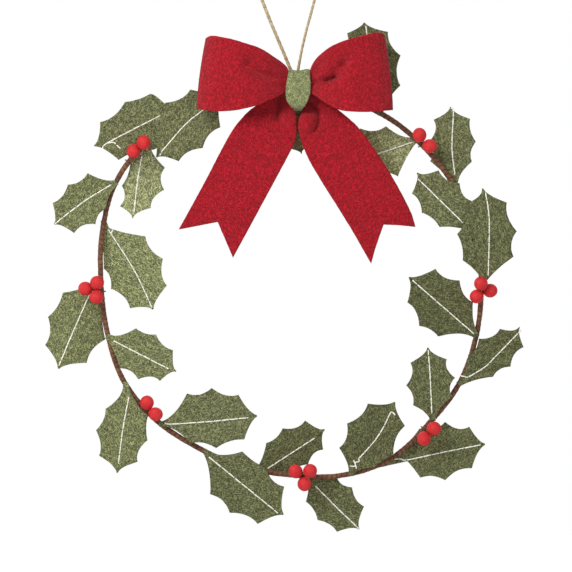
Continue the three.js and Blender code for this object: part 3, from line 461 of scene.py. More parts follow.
def ring_offset(angle, out=0.0, forward=0.0):
    """A place from the ring's centre, out from its wire and forward of it."""
    radius = RING_RADIUS * smooth_value(RING_TABLE, angle % 360) + out
    turn = math.radians(angle)
    return Vector((radius * math.cos(turn), -forward, radius * math.sin(turn)))


RING_CENTRE = Vector((TWINE_ASIDE, -TWINE_BEHIND, -TWINE_DROP)) - ring_offset(HITCH_ANGLE)
KNOT_CENTRE = RING_CENTRE + ring_offset(KNOT_ANGLE) + Vector((0, 0, KNOT_RISE))


def ring_point(angle, out=0.0, forward=0.0):
    return RING_CENTRE + ring_offset(angle, out, forward)


# Meshes
def add_object(name, data):
    made = bpy.data.objects.new(name, data)
    bpy.context.scene.collection.objects.link(made)
    return made


def add_mesh(name, points, faces, flat=None):
    """A smooth mesh object from points in millimetres; flat gives each point's place in its cloth."""
    mesh = bpy.data.meshes.new(name)
    mesh.from_pydata([p * MM for p in points], [], faces)
    mesh.validate()
    if flat is not None:
        layer = mesh.uv_layers.new(name="flat")
        for loop in mesh.loops:
            u, v = flat[loop.vertex_index]
            layer.data[loop.index].uv = (u * MM, v * MM)
    mesh.polygons.foreach_set("use_smooth", [True] * len(mesh.polygons))
    return add_object(name, mesh)


def finish_piece(piece, material, body, slot, *nodes):
    """Give a piece its material, the body it moves with and the solids it stands for."""
    piece.data.materials.append(material)
    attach(piece, body)
    if nodes:
        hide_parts(*nodes)


def sheet_grid(rows, columns, place):
    """A sheet's middle points and their flat places, as place gives both for a row and a column."""
    both = [[place(row, column) for column in columns] for row in rows]
    grid = [[point for point, _ in row] for row in both]
    flat = [[spot for _, spot in row] for row in both]
    return grid, flat


def face_to_front(grid):
    """1 where a sheet's first face looks to the front, and -1 where its second does."""
    i, j = len(grid) // 2, len(grid[0]) // 2
    along = grid[i + 1][j] - grid[i - 1][j]
    across = grid[i][j + 1] - grid[i][j - 1]
    return 1 if along.cross(across).y < 0 else -1


def edge_pull(grid, i, j, facing):
    """A short step into the sheet from a point on its outline, and none from any other point."""
    inward = []
    if i in (0, len(grid) - 1):
        inward.append(grid[abs(i - 1)][j] - grid[i][j])
    if j in (0, len(grid[0]) - 1):
        inward.append(grid[i][abs(j - 1)] - grid[i][j])
    heading = sum((way.normalized() for way in inward), Vector((0, 0, 0)))
    slant = facing * EDGE_SLANT * (heading.z - heading.x)
    pull = max(EDGE_ROUNDING + slant + uneven(EDGE_NOISE, grid[i][j]), EDGE_ROUNDING_LEAST)
    steps = (way.normalized() * min(pull, way.length * EDGE_REACH_SHARE) for way in inward)
    return sum(steps, Vector((0, 0, 0)))


def outline_of(last_row, last_column):
    """The row and column of each point of a sheet's outline, once round."""
    outline = [(0, j) for j in range(last_column)]
    outline += [(i, last_column) for i in range(last_row)]
    outline += [(last_row, j) for j in range(last_column, 0, -1)]
    return outline + [(i, 0) for i in range(last_row, 0, -1)]


def felt_sheet(name, grid, flat, thickness):
    """A sheet of felt around a grid of middle points, with its cut edges a little rounded."""
    rows, columns = len(grid), len(grid[0])
    last_row, last_column = rows - 1, columns - 1
    points, faces = [], []
    for side in (1, -1):
        facing = side * face_to_front(grid)
        for i in range(rows):
            for j in range(columns):
                along = grid[min(i + 1, last_row)][j] - grid[max(i - 1, 0)][j]
                across = grid[i][min(j + 1, last_column)] - grid[i][max(j - 1, 0)]
                face = along.cross(across).normalized() * (side * thickness / 2)
                points.append(grid[i][j] + face + edge_pull(grid, i, j, facing))
    back = rows * columns
    for i in range(last_row):
        for j in range(last_column):
            a = i * columns + j
            b = a + columns
            faces.append((a, b, b + 1, a + 1))
            faces.append((back + a, back + a + 1, back + b + 1, back + b))

    rough, waves = RIM_NOISE
    places = [spot for row in flat for spot in row] * 2
    edge = len(points)
    outline = outline_of(last_row, last_column)
    for k, (i, j) in enumerate(outline):
        points.append(grid[i][j] + rough * noise.noise_vector(grid[i][j] * waves))
        places.append(flat[i][j])
        after = (k + 1) % len(outline)
        a = i * columns + j
        b = outline[after][0] * columns + outline[after][1]
        faces.append((a, b, edge + after, edge + k))
        faces.append((edge + k, edge + after, back + b, back + a))
    piece = add_mesh(name, points, faces, places)
    piece.data.set_sharp_from_angle(angle=math.radians(SHARP_DEGREES))
    return piece


def sides_along(line):
    """Two directions square to a line at each of its points, turning as little as they can."""
    pairs = []
    side = None
    for i, _ in enumerate(line):
        tangent = (line[min(i + 1, len(line) - 1)] - line[max(i - 1, 0)]).normalized()
        if side is None:
            side = tangent.orthogonal().normalized()
        side = (side - tangent * side.dot(tangent)).normalized()
        pairs.append((side, tangent.cross(side)))
    return pairs


def rod(line, radius_at, sides):
    """Points, faces and flat places of a closed rod; radius_at takes the length so far and a turn."""
    points, faces, flat = [], [], []
    for walked, point, (side, up) in zip(lengths_along(line), line, sides_along(line)):
        for k in range(sides):
            turn = 2 * math.pi * k / sides
            radius = radius_at(walked, turn)
            points.append(point + (side * math.cos(turn) + up * math.sin(turn)) * radius)
            flat.append((walked, turn * radius))
    for i in range(len(line) - 1):
        for k in range(sides):
            a = i * sides + k
            b = i * sides + (k + 1) % sides
            faces.append((a, b, b + sides, a + sides))
    last = (len(line) - 1) * sides
    faces.append(tuple(reversed(range(sides))))
    faces.append(tuple(range(last, last + sides)))
    return points, faces, flat


def merged(parts):
    """One set of points, faces and flat places from several."""
    points, faces, flat = [], [], []
    for more_points, more_faces, more_flat in parts:
        start = len(points)
        points += more_points
        flat += more_flat
        faces += [tuple(start + v for v in face) for face in more_faces]
    return points, faces, flat


# Materials
def rgb(red, green, blue):
    """A colour from screen values out of 255."""
    def linear(value):
        share = value / 255
        return share / 12.92 if share <= 0.04045 else ((share + 0.055) / 1.055) ** 2.4
    return (linear(red), linear(green), linear(blue), 1.0)


class Nodes:
    """A short way to build a tree of shader nodes."""

    MIX_COLOURS = (6, 7)
    MIX_RESULT = 2

    def __init__(self, tree):
        self.tree = tree

    def add(self, kind, inputs=None, **settings):
        """A new node; inputs gives each input a plain value or a socket to link."""
        node = self.tree.nodes.new(kind)
        for key, value in settings.items():
            setattr(node, key, value)
        for key, value in (inputs or {}).items():
            self.put(value, node.inputs[key])
        return node

    def put(self, value, socket):
        if isinstance(value, bpy.types.NodeSocket):
            self.tree.links.new(value, socket)
        else:
            socket.default_value = value

    def flat(self, turn=0, stretch=(1, 1, 1)):
        """The place in the cloth, turned and then stretched, so that a pattern runs that way."""
        place = self.add("ShaderNodeUVMap", uv_map="flat").outputs["UV"]
        scale = tuple(1 / share for share in stretch)
        inputs = {"Vector": place, "Rotation": (0, 0, math.radians(turn)), "Scale": scale}
        return self.add("ShaderNodeMapping", inputs, vector_type="TEXTURE").outputs["Vector"]

    def around(self):
        return self.add("ShaderNodeTexCoord").outputs["Object"]

    def noise(self, vector, grain, detail=3.0, roughness=0.6, curl=0.0):
        """Noise whose features are about grain millimetres across."""
        inputs = {"Vector": vector, "Scale": 1 / (grain * MM), "Detail": detail, "Roughness": roughness}
        return self.add("ShaderNodeTexNoise", {**inputs, "Distortion": curl}).outputs["Fac"]

    def ramp(self, value, low, high):
        """0 up to low, 1 from high on, and evenly between."""
        inputs = {"Value": value, "From Min": low, "From Max": high}
        return self.add("ShaderNodeMapRange", inputs, clamp=True).outputs["Result"]

    def maths(self, operation, *values):
        return self.add("ShaderNodeMath", dict(enumerate(values)), operation=operation).outputs["Value"]

    def mix(self, amount, *colours):
        inputs = {"Factor": amount, **dict(zip(self.MIX_COLOURS, colours))}
        return self.add("ShaderNodeMix", inputs, data_type="RGBA").outputs[self.MIX_RESULT]

    def mix_shaders(self, *inputs):
        return self.add("ShaderNodeMixShader", dict(enumerate(inputs))).outputs["Shader"]


class Finish(Nodes):
    """A material whose colour and bump come from nodes."""

    def __init__(self, name, roughness, gloss=0.5, **values):
        self.material = bpy.data.materials.new(name)
        self.material.use_nodes = True
        super().__init__(self.material.node_tree)
        self.shader = self.tree.nodes["Principled BSDF"]
        self.put(roughness, self.shader.inputs["Roughness"])
        self.put(gloss, self.shader.inputs["Specular IOR Level"])
        for key, value in values.items():
            self.put(value, self.shader.inputs[key.replace("_", " ")])

    def colour(self, value):
        self.put(value, self.shader.inputs["Base Color"])

    def bump(self, height, depth):
        """Relief from a height of 0 to 1, depth millimetres deep."""
        node = self.add("ShaderNodeBump", {"Height": height, "Distance": depth * MM, "Strength": 1.0})
        self.put(node.outputs["Normal"], self.shader.inputs["Normal"])


def felt(name, colour, contrast):
    """Wool felt: cloudy dye, dark pores, and fibres lying in four directions."""
    def shade(share):
        return tuple(min(value * share, 1.0) for value in colour[:3]) + (1.0,)

    made = Finish(name, 0.95, gloss=0.1, Sheen_Weight=0.08, Sheen_Roughness=0.6)
    cloud = made.ramp(made.noise(made.flat(), grain=6.0, detail=4.0), 0.36, 0.64)
    pores = made.ramp(made.noise(made.flat(), grain=0.8, roughness=0.65), 0.42, 0.62)
    strands = []
    for turn, thin, grain, low, high in (
        (42, 0.2, 0.5, 0.53, 0.63), (-50, 0.2, 0.55, 0.56, 0.66), (8, 0.2, 0.6, 0.57, 0.67),
        (-25, 0.3, 0.6, 0.55, 0.70),
    ):
        fibre = made.noise(made.flat(turn, (1, thin, 1)), grain, detail=2.0, roughness=0.5, curl=0.5)
        strands.append(made.ramp(fibre, low, high))
    pale = made.maths("MAXIMUM", made.maths("MAXIMUM", strands[0], strands[1]), strands[2])
    dark = strands[3]
    base = made.mix(cloud, shade(1 - 0.176 * contrast), shade(1 + 0.192 * contrast))
    base = made.mix(made.maths("SUBTRACT", 1.0, pores), base, shade(1 - 0.416 * contrast))
    base = made.mix(made.maths("MULTIPLY", dark, 0.8), base, shade(1 - 0.576 * contrast))
    made.colour(made.mix(made.maths("MULTIPLY", pale, 0.75), base, shade(1 + 0.832 * contrast)))
    made.bump(made.maths("SUBTRACT", made.maths("ADD", pores, pale), dark), 0.14)
    return made.material


def berry_paint():
    made = Finish("matt_red", 0.62, gloss=0.3)
    around = made.around()
    cloud = made.ramp(made.noise(around, grain=3.0), 0.3, 0.7)
    made.colour(made.mix(cloud, rgb(189, 30, 36), rgb(214, 48, 50)))
    made.bump(made.noise(around, grain=0.35, detail=2.0), 0.04)
    return made.material


def tape_paper():
    """Waxed paper tape, with painted shade that darkens each turn into its lap and along its fine
    creases.
    """
    made = Finish("brown_tape", 0.75, gloss=0.3)
    place = made.add("ShaderNodeSeparateXYZ", {"Vector": made.flat(0, (1 / MM, 1 / MM, 1))})
    along = made.maths("DIVIDE", place.outputs["X"], TAPE_PITCH)
    around = made.maths("DIVIDE", place.outputs["Y"], 2 * math.pi * TAPE_RADIUS)
    lap = made.maths("FRACT", made.maths("ADD", along, around))
    blotch = made.ramp(made.noise(made.flat(), grain=6.0), 0.35, 0.65)
    creases = made.noise(made.flat(62, (1, 0.15, 1)), grain=0.6)
    paper = made.mix(blotch, rgb(98, 62, 43), rgb(136, 94, 64))
    # Painted shade darkens the paper along the creases
    paper = made.mix(made.ramp(creases, 0.45, 0.75), paper, rgb(74, 42, 32))
    # Painted shade where each turn runs under the next, darkest at the lap
    shadow = made.maths("SUBTRACT", 1.0, made.ramp(lap, 0.0, 0.35))
    made.colour(made.mix(shadow, paper, rgb(60, 34, 27)))
    made.bump(creases, 0.12)
    return made.material


def jute():
    """Jute yarn: pale bast fibres that follow the twist."""
    made = Finish("natural_jute", 0.9, gloss=0.2)
    strands = made.noise(made.flat(35, (1, 0.12, 1)), grain=0.35)
    blotch = made.ramp(made.noise(made.flat(), grain=4.0), 0.35, 0.65)
    yarn = made.mix(blotch, rgb(182, 160, 120), rgb(216, 198, 160))
    made.colour(made.mix(made.ramp(strands, 0.48, 0.7), yarn, rgb(128, 104, 70)))
    made.bump(strands, 0.2)
    return made.material


def cotton_thread():
    made = Finish("off_white_thread", 0.8, gloss=0.25)
    plies = made.noise(made.flat(40, (1, 0.2, 1)), grain=0.25, detail=2.0)
    made.colour(made.mix(made.ramp(plies, 0.4, 0.7), rgb(250, 249, 238), rgb(222, 219, 200)))
    made.bump(plies, 0.08)
    return made.material


def wire_paper():
    """The papered wire of the stems and of the bow's tie."""
    made = Finish("papered_wire", 0.7)
    scuffs = made.noise(made.around(), grain=1.2, detail=4.0)
    made.colour(made.mix(made.ramp(scuffs, 0.5, 0.75), rgb(88, 60, 40), rgb(60, 44, 30)))
    made.bump(scuffs, 0.03)
    return made.material


def floor_paint():
    """A pale matt floor that the camera sees as white, with the object's shadow on it."""
    made = Finish("pale_floor", 0.9, Base_Color=(0.86, 0.86, 0.86, 1))
    paint = made.shader.outputs["BSDF"]
    lift = made.add("ShaderNodeEmission", {"Strength": FLOOR_LIFT}).outputs["Emission"]
    both = made.add("ShaderNodeAddShader", {0: paint, 1: lift}).outputs["Shader"]
    seen = made.add("ShaderNodeLightPath").outputs["Is Camera Ray"]
    shown = made.mix_shaders(seen, paint, both)
    made.put(shown, made.tree.nodes["Material Output"].inputs["Surface"])
    return made.material


# Shades of olive felt, from the darkest to the palest, partly its own tones and partly painted light
# and shade
OLIVE_TONES_AND_PAINTED_LIGHT = [
    felt(f"olive_felt_{k + 1}", rgb(*shade), 1.6)
    for k, shade in enumerate([
        (99, 101, 67), (106, 109, 73), (114, 117, 80), (124, 128, 87), (139, 144, 100), (156, 161, 115),
    ])
]
RED_FELT = felt("red_felt", rgb(168, 21, 35), 1.0)
SAGE_FELT = felt("sage_felt", rgb(139, 145, 100), 1.2)
BERRY_PAINT = berry_paint()
TAPE_PAPER = tape_paper()
JUTE = jute()
THREAD = cotton_thread()
WIRE_PAPER = wire_paper()


# Camera and light
def build_camera():
    camera = add_object("camera", bpy.data.cameras.new("camera"))
    camera.data.sensor_width = SENSOR_WIDTH
    camera.data.lens = SENSOR_WIDTH * VIEW_DISTANCE / VIEW_WIDTH
    across, up = VIEW_CENTRE
    camera.location = Vector((across, -VIEW_DISTANCE - TWINE_BEHIND, up)) * MM
    camera.rotation_euler = (math.pi / 2, 0, 0)
    bpy.context.scene.camera = camera


def build_lamps():
    for name, place, size, power in LAMPS:
        light = bpy.data.lights.new(name, "AREA")
        light.size = size * MM
        light.energy = power
        lamp = add_object(name, light)
        lamp.location = Vector(place) * MM
        aim = Vector(LAMP_AIM) - Vector(place)
        lamp.rotation_euler = aim.to_track_quat("-Z", "Y").to_euler()


def build_world():
    """White to the camera and in reflections, plain soft light to everything else."""
    world = bpy.data.worlds.new("white_studio")
    bpy.context.scene.world = world
    world.use_nodes = True
    sky = Nodes(world.node_tree)
    soft = sky.tree.nodes["Background"]
    white = sky.add("ShaderNodeBackground")
    for light, strength in ((soft, SOFT_LIGHT), (white, 1.0)):
        sky.put((1, 1, 1, 1), light.inputs["Color"])
        sky.put(strength, light.inputs["Strength"])
    rays = sky.add("ShaderNodeLightPath")
    seen = rays.outputs["Is Camera Ray"]
    for kind in ("Is Glossy Ray", "Is Transmission Ray"):
        seen = sky.maths("MAXIMUM", seen, rays.outputs[kind])
    shown = sky.mix_shaders(seen, soft.outputs["Background"], white.outputs["Background"])
    sky.put(shown, sky.tree.nodes["World Output"].inputs["Surface"])


def build_floor():
    corners = [Vector((x, y, 0)) * FLOOR_HALF for x, y in ((-1, -1), (1, -1), (1, 1), (-1, 1))]
    floor = add_mesh("floor", corners, [(0, 1, 2, 3)])
    floor.location.z = cad_box[0][2] - FLOOR_BELOW * MM
    floor.data.materials.append(floor_paint())


# Twine
def hitch_turn(aside):
    """The middle line of one turn of twine round the ring."""
    circle = []
    for share in even_shares(HITCH_STEPS):
        angle = 2 * math.pi * share
        slid = aside * (TWINE_RADIUS + HITCH_GAP / 2) + HITCH_SLIDE * math.sin(angle / 2)
        around = Vector((slid, -TWINE_BEHIND * math.cos(angle), TWINE_BEHIND * math.sin(angle)))
        circle.append(ring_point(HITCH_ANGLE) + around)
    return circle


def build_twine():
    route = [Vector((x * TWINE_DROP, 0, z * TWINE_DROP)) for x, z in TWINE_ROUTE_SHARES]
    line = evenly(smooth_line(route, CURVE_STEPS), TWINE_STEP)
    whole = lengths_along(line)[-1]

    def plies(walked, turn):
        """The radius of two plies laid together, a little uneven along the loop."""
        twist = turn + 2 * math.pi * walked / TWINE_LAY
        swell = lerp(*TWINE_SWELL_SHARES, walked / whole) + uneven(TWINE_NOISE, [walked], 0, 3)
        return TWINE_RADIUS * swell * lerp(TWINE_CORE_SHARE, 1, abs(math.cos(twist)) ** 0.8)

    def hitch_plies(walked, turn):
        return HITCH_TWINE_SHARE * plies(walked, turn)

    twine = add_mesh("twine", *rod(line, plies, TWINE_SIDES))
    finish_piece(twine, JUTE, "hanging_cord", "jute_twine", "twine_loop")
    turns = [rod(hitch_turn(aside), hitch_plies, HITCH_SIDES) for aside in (-1, 1)]
    hitch = add_mesh("twine_turns", *merged(turns))
    finish_piece(hitch, JUTE, "hanging_cord", "jute_twine", "twine_hitch")


# Ring
def wound_tape(walked, turn):
    """The tape's radius: a ridge at each lap, and slow and quick unevenness."""
    lap = (walked / TAPE_PITCH + turn / (2 * math.pi)) % 1
    across, up = math.cos(turn), math.sin(turn)
    wander = uneven(TAPE_WANDER_NOISE, [walked], across, up)
    lump = uneven(TAPE_LUMP_NOISE, [walked], across * 1.5, up * 1.5)
    return TAPE_RADIUS - TAPE_SUNK + TAPE_LAP * lap + wander + lump


def build_ring():
    gap = math.degrees(RING_ENDS_GAP / RING_RADIUS)
    start = RING_ENDS_ANGLE + gap / 2
    sweep = 360 - gap
    length = math.radians(sweep) * RING_RADIUS
    steps = round(length / TAPE_PITCH * TAPE_STEPS)
    line = [ring_point(start + sweep * k / steps) for k in range(steps + 1)]
    tape = add_mesh("tape_wrap", *rod(line, wound_tape, TAPE_SIDES))
    finish_piece(tape, TAPE_PAPER, "wreath", "florist_tape", "ring_tape", "ring_wire")


# Leaves
def body_of(node):
    """The moving body that a node belongs to."""
    bodies = frame["record"]["behaviour"]["bodies"]
    return next(body for body, nodes in bodies.items() if node in nodes)


class Leaf:
    """One leaf: its outline, how its felt bends, and where it sits on the ring."""

    def __init__(self, index, row):
        (at, out_share, points, length_share, self.side, layer, lean, self.fold,
         right, left, self.stitch, self.shade, *self.loose) = row
        self.name = f"leaf_{index + 1:02d}"
        self.body = body_of(self.name)
        self.length = LEAF_LENGTH * length_share
        self.right = self.edge(right)
        self.left = self.edge(left)
        self.seed = index * LEAF_SEED_STEP
        forward = self.side * (SEAT + LEAF_THICKNESS / 2 + (layer - 1) * (LEAF_THICKNESS + CLEARANCE))
        place = ring_point(at, out_share * LEAF_LENGTH, forward)
        turn = Matrix.Rotation(math.radians(90 - points), 4, "Y")
        tip = Matrix.Rotation(math.radians(self.side * lean), 4, "X")
        self.matrix = Matrix.Translation(place) @ turn @ tip

    def edge(self, shares):
        """One side of the cut, a scallop from each corner to the next."""
        corners = [Vector((-LEAF_TUCK, LEAF_NECK_HALF))]
        corners += [Vector(share[:2]) * self.length for share in shares]
        corners.append(Vector((self.length, LEAF_TIP_HALF)))
        scallops = [share[2] if len(share) > 2 else 1 for share in shares] + [1]
        edge = [corners[0]]
        for a, b, scallop in zip(corners, corners[1:], scallops):
            middle = (a + b) / 2 - Vector((0, 2 * LEAF_SCALLOP * scallop))
            for t in even_shares(LEAF_ROWS // len(scallops))[1:]:
                edge.append(a * (1 - t) ** 2 + middle * 2 * t * (1 - t) + b * t * t)
        return edge

    def bend(self, along, across):
        """How far the felt stands off its flat cut, away from the wire; unfolded it lies flat."""
        if not self.fold:
            return 0.0
        folded = self.fold * (math.hypot(across, LEAF_FOLD_RADIUS) - LEAF_FOLD_RADIUS)
        share = max(along / self.length, 0)
        waved = uneven(LEAF_NOISE, [along, across], self.seed) * grown(share, *LEAF_NOISE_SHARES)
        return folded + waved + LEAF_LIFT * max(share - LEAF_LIFT_SHARE, 0) ** 2

    def place(self, along, across, off=0.0):
        """A point of the leaf, off in front of its middle."""
        return self.matrix @ Vector((across, -self.side * self.bend(along, across) - off, along))

    def grid(self):
        def place(edges, share):
            right, left = edges
            edge = right if share > 0 else left
            along = lerp((right.x + left.x) / 2, edge.x, abs(share))
            across = edge.y * share
            return self.place(along, across), (across + self.seed * 10, along + self.seed * 3)
        return sheet_grid(zip(self.right, self.left), LEAF_COLUMN_SHARES, place)

    def area(self):
        corners = [(p.y, p.x) for p in self.right] + [(-p.y, p.x) for p in reversed(self.left)]
        around = zip(corners, corners[1:] + corners[:1])
        return abs(sum(x0 * y1 - x1 * y0 for (x0, y0), (x1, y1) in around)) / 2

    def width(self):
        return max(p.y for p in self.right) + max(p.y for p in self.left)


def thread_line(leaf, shares, face, sunk):
    """A thread over one face of a leaf; where sunk it dips into the felt at each stitch hole."""
    corners = [Vector(share) * leaf.length for share in shares]
    line = []
    for k, point in enumerate(evenly(smooth_line(corners, CURVE_STEPS), THREAD_STEP)):
        walked = k * THREAD_STEP
        lifted = abs(math.sin(math.pi * walked / STITCH_PITCH)) ** 0.5 if sunk else 1
        rise = THREAD_RADIUS * lerp(STITCH_HOLE_SHARE, STITCH_TOP_SHARE, lifted)
        across = point.y + uneven(THREAD_WANDER_NOISE, [walked], leaf.seed, face)
        line.append(leaf.place(point.x, across, face * (LEAF_THICKNESS / 2 + rise)))

    def swelling(walked, turn):
        return THREAD_RADIUS * (1 + uneven(THREAD_SWELL_NOISE, [walked], leaf.seed, face * 5))

    return rod(line, swelling, THREAD_SIDES)


def build_leaves():
    for index, row in enumerate(LEAVES):
        leaf = Leaf(index, row)
        piece = felt_sheet(f"felt_{leaf.name}", *leaf.grid(), LEAF_THICKNESS)
        # The leaf's shade of felt is partly painted light and shade
        finish_piece(piece, OLIVE_TONES_AND_PAINTED_LIGHT[leaf.shade], leaf.body, "leaf_felt", leaf.name)
        threads = [thread_line(leaf, leaf.stitch, face, True) for face in (1, -1)]
        threads += [thread_line(leaf, shares, 1, False) for shares in leaf.loose]
        stitch = add_mesh(f"stitch_{leaf.name}", *merged(threads))
        finish_piece(stitch, THREAD, leaf.body, "leaf_felt")
        leaf.width() * MM
        leaf.area() * MM * MM


# Berries
def build_berries():
    for name in sorted(frame["nodes"]):
        if name.startswith("berry_") and "stem" not in name:
            piece = add_mesh(f"skin_{name}", *berry_shell(*berry_place(name)))
            finish_piece(piece, BERRY_PAINT, "wreath", "berry_skin", name)


def berry_place(name):
    """The middle of a berry and the way it points, from the bottom of the hole in its solid."""
    low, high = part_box(name)
    middle = (Vector(low) + Vector(high)) / 2 / MM
    corners = [v.co / MM for v in bpy.data.objects[name].data.vertices]
    inner = min(corners, key=lambda p: (p - middle).length)
    axis = (middle - inner).normalized()
    return inner + axis * (BERRY_HALF_LENGTH - BERRY_HOLE_DEPTH), axis


def berry_profile():
    """A berry's half outline as (radius, along), from the bottom of its hole round to its tip."""
    bottom = BERRY_HOLE_DEPTH - BERRY_HALF_LENGTH
    mouth = math.asin(BERRY_HOLE_RADIUS / BERRY_RADIUS)
    turns = [lerp(mouth, math.pi, share) for share in even_shares(BERRY_RINGS)]
    shell = [(BERRY_RADIUS * math.sin(turn), -BERRY_HALF_LENGTH * math.cos(turn)) for turn in turns]
    return [(0.0, bottom), (BERRY_HOLE_RADIUS, bottom)] + shell


def berry_shell(middle, axis):
    """Points and faces of a berry around its middle, with a stem hole at its back."""
    profile = berry_profile()
    side = axis.orthogonal().normalized()
    up = axis.cross(side)
    points, faces = [middle + axis * profile[0][1]], []
    for radius, along in profile[1:-1]:
        for k in range(BERRY_SIDES):
            turn = 2 * math.pi * k / BERRY_SIDES
            out = (side * math.cos(turn) + up * math.sin(turn)) * radius + axis * along
            points.append(middle + out * (1 + uneven(BERRY_NOISE, middle + out)))
    points.append(middle + axis * profile[-1][1])
    last = len(points) - 1
    top = last - BERRY_SIDES
    for k in range(BERRY_SIDES):
        after = (k + 1) % BERRY_SIDES
        faces.append((0, 1 + k, 1 + after))
        faces.append((last, top + after, top + k))
    for ring in range(1, top, BERRY_SIDES):
        for k in range(BERRY_SIDES):
            a, b = ring + k, ring + (k + 1) % BERRY_SIDES
            faces.append((a, a + BERRY_SIDES, b + BERRY_SIDES, b))
    return points, faces


def paint_wires():
    """The stems and the bow's tie wire keep their solids and get paper."""
    for name in frame["nodes"]:
        if name.startswith("berry_stem") or name == "bow_tie_wire":
            solid = bpy.data.objects[name]
            solid.data.materials.clear()
            solid.data.materials.append(WIRE_PAPER)


# Bow
def creased(seen, creases):
    """How far the felt is drawn in at a place (aside, up) from the knot."""
    return max(
        depth * math.exp(-((distance_to_line(seen, line) / width) ** 2))
        for line, depth, width in creases
    )


def rolled(seen, lobe):
    """How far a rolled lobe stands up at a place (aside, up) from the knot."""
    line, height, radius = lobe
    return height * max(1 - (distance_to_line(seen, line) / radius) ** 2, 0)


def loop_plan(reach):
    """A loop's middle line as (out, forward), from the knot round its end and back."""
    start, leave = (share * reach for share in LOOP_NECK_SHARES)
    plan = [(start, LOOP_NECK_BACK), (leave, LOOP_NECK_BACK)]
    plan += [(out * reach, LOOP_BACK + forward * LOOP_PUFF) for out, forward in LOOP_PLAN_SHARES]
    plan += [(leave, LOOP_NECK_FRONT), (start, LOOP_NECK_FRONT)]
    return smooth_line(plan, LOOP_STEPS)


def build_loop(name, side, reach_share, top_shares, bottom_shares, creases):
    reach = LOOP_HEIGHT * reach_share
    plan = loop_plan(reach)

    def place(row, column):
        walked, station = row
        share = station.x / reach
        front = (station.y - LOOP_BACK) / LOOP_PUFF
        up = 1 - column if side > 0 else column
        edges = smooth_value(bottom_shares, share), smooth_value(top_shares, share)
        height = LOOP_HEIGHT * lerp(*edges, up)
        aside = side * station.x * lerp(1, LOOP_TOP_REACH_SHARE, up ** LOOP_LEAN_POWER * share)
        near = grown(share, 0, LOOP_NECK_SHARES[1]) * (1 - grown(share, *LOOP_GATHER_SHARES))
        gather = LOOP_GATHER * near * math.sin(math.pi * LOOP_GATHERS * up)
        sunk = creased(Vector((aside, height)), creases) * max(front, 0)
        wave = uneven(LOOP_NOISE, [aside, height], side * 5 + front)
        forward = station.y - sunk + gather + wave
        return KNOT_CENTRE + Vector((aside, -forward, height)), (walked, (up - 0.5) * LOOP_HEIGHT)

    rows = list(zip(lengths_along(plan), plan))
    grid = sheet_grid(rows, even_shares(LOOP_COLUMNS), place)
    loop = felt_sheet(f"ribbon_loop_{name}", *grid, FELT_THICKNESS)
    finish_piece(loop, RED_FELT, "wreath", "bow_felt", f"bow_loop_{name}")


def tail_forward(side, share, seen, creases, lobe):
    """How far a tail stands forward of its neck at a place (aside, up) from the knot."""
    bulge = TAIL_BULGE * math.sin(math.pi * share) + uneven(TAIL_NOISE, seen, side * 3)
    stands = bulge * grown(share, *TAIL_NECK_SHARES) + rolled(seen, lobe)
    return stands * grown(-seen.y, TAIL_TURN, TAIL_TURN_ROOM) - creased(seen, creases)


def build_tail(name, side, points, outer_shares, inner_shares, ends, creases, lobe):
    turn = math.radians(points)
    along = Vector((math.cos(turn), 0, math.sin(turn)))
    outer = Vector((-side * along.z, 0, side * along.x))
    origin = KNOT_CENTRE + Vector((side * CLEARANCE, -TAIL_DEPTH, -TAIL_DROP))
    corner, notch, point = ends

    def place(row, column):
        inward = column if side < 0 else 1 - column
        end = lerp(corner, notch, 2 * inward) if inward < 0.5 else lerp(notch, point, 2 * inward - 1)
        share = lerp(outer_shares[0][0], end, row ** TAIL_ROW_POWER)
        edges = smooth_value(outer_shares, share), smooth_value(inner_shares, share)
        spot = origin + along * TAIL_LENGTH * share + outer * (TAIL_WIDTH * lerp(*edges, inward))
        spot.y -= tail_forward(side, share, (spot - KNOT_CENTRE).xz, creases, lobe)
        return spot, (TAIL_LENGTH * share, (0.5 - inward) * TAIL_WIDTH)

    grid = sheet_grid(even_shares(TAIL_ROWS), even_shares(TAIL_COLUMNS), place)
    tail = felt_sheet(f"ribbon_tail_{name}", *grid, FELT_THICKNESS)
    finish_piece(tail, RED_FELT, f"tail_{name}", "bow_felt", f"bow_tail_{name}")


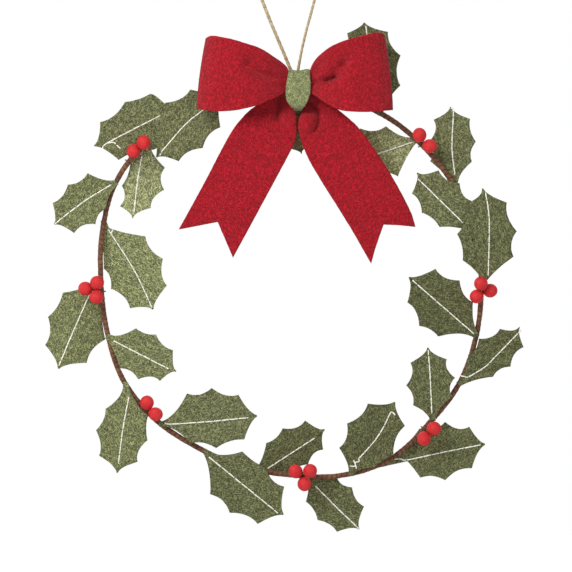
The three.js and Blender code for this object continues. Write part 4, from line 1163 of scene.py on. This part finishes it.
def band_outline():
    """The band's middle line as (forward, height), from the middle of its back round to there again."""
    back = KNOT_BACK + FELT_THICKNESS / 2
    front = KNOT_FRONT - FELT_THICKNESS / 2
    corner = KNOT_CORNER - FELT_THICKNESS / 2
    straight = (KNOT_HEIGHT - FELT_THICKNESS) / 2 - corner

    def rounded(forward, height, start):
        """A quarter turn of the line."""
        turns = [math.radians(start - 90 * share) for share in even_shares(KNOT_CORNER_STEPS)]
        return [(forward + corner * math.cos(turn), height + corner * math.sin(turn)) for turn in turns]

    line = [(back, KNOT_SEAM_GAP / 2), (back, straight / 2)]
    line += rounded(back + corner, straight, 180) + rounded(front - corner, straight, 90)
    line += [(front + KNOT_BULGE, straight * share) for share in (0.6, 0.2, -0.2, -0.6)]
    line += rounded(front - corner, -straight, 0) + rounded(back + corner, -straight, -90)
    return line + [(back, -straight / 2), (back, -KNOT_SEAM_GAP / 2)]


def band_section(forward, height):
    """One line across the band: how far forward, how high once it sags, and its two ends."""
    half = KNOT_HEIGHT / 2
    front = (forward - KNOT_BACK) / (KNOT_FRONT - KNOT_BACK)
    if height < 0:
        height -= lerp(KNOT_BACK_SAG, KNOT_SAG, front) * (height / half) ** 2
    ends = [smooth_value(KNOT_EDGE_SHARES[side], height / half) for side in (-1, 1)]
    left, right = (end * KNOT_WIDTH / 2 for end in ends)
    if height < -half:
        left -= KNOT_BACK_SPREAD * (1 - grown(front, 0, KNOT_SPREAD_SHARE))
    return forward, height, left, right


def build_band():
    sections = [band_section(*spot) for spot in band_outline()]
    lengths = lengths_along([Vector(section[:2]) for section in sections])

    def place(row, across):
        walked, (forward, height, left, right) = row
        crown = KNOT_CROWN * math.sin(math.pi * across) if forward > KNOT_FRONT - KNOT_CORNER else 0.0
        wave = uneven(KNOT_NOISE, [across * KNOT_NOISE_WIDTH, height], 2)
        dip = KNOT_TOP_DIP * math.sin(math.pi * grown(across, 0, KNOT_DIP_SHARE))
        dip *= max(2 * height / KNOT_HEIGHT, 0) ** 4
        spot = Vector((lerp(left, right, across), -(forward + crown + wave), height - dip))
        return KNOT_CENTRE + spot, (across * KNOT_WIDTH, walked)

    grid = sheet_grid(zip(lengths, sections), even_shares(KNOT_COLUMNS), place)
    band = felt_sheet("knot_felt_band", *grid, FELT_THICKNESS)
    finish_piece(band, SAGE_FELT, "wreath", "knot_felt", "bow_knot_band")
    steps = [after - before for before, after in zip(lengths, lengths[1:])]
    area = sum(step * (right - left) for step, (_, _, left, right) in zip(steps, sections[1:]))


bpy.context.scene.view_settings.view_transform = "Standard"
build_camera()
build_lamps()
build_world()
build_floor()
build_twine()
build_ring()
build_leaves()
build_berries()
paint_wires()
build_band()
for loop_row in LOOPS:
    build_loop(*loop_row)
for tail_row in TAILS:
    build_tail(*tail_row)
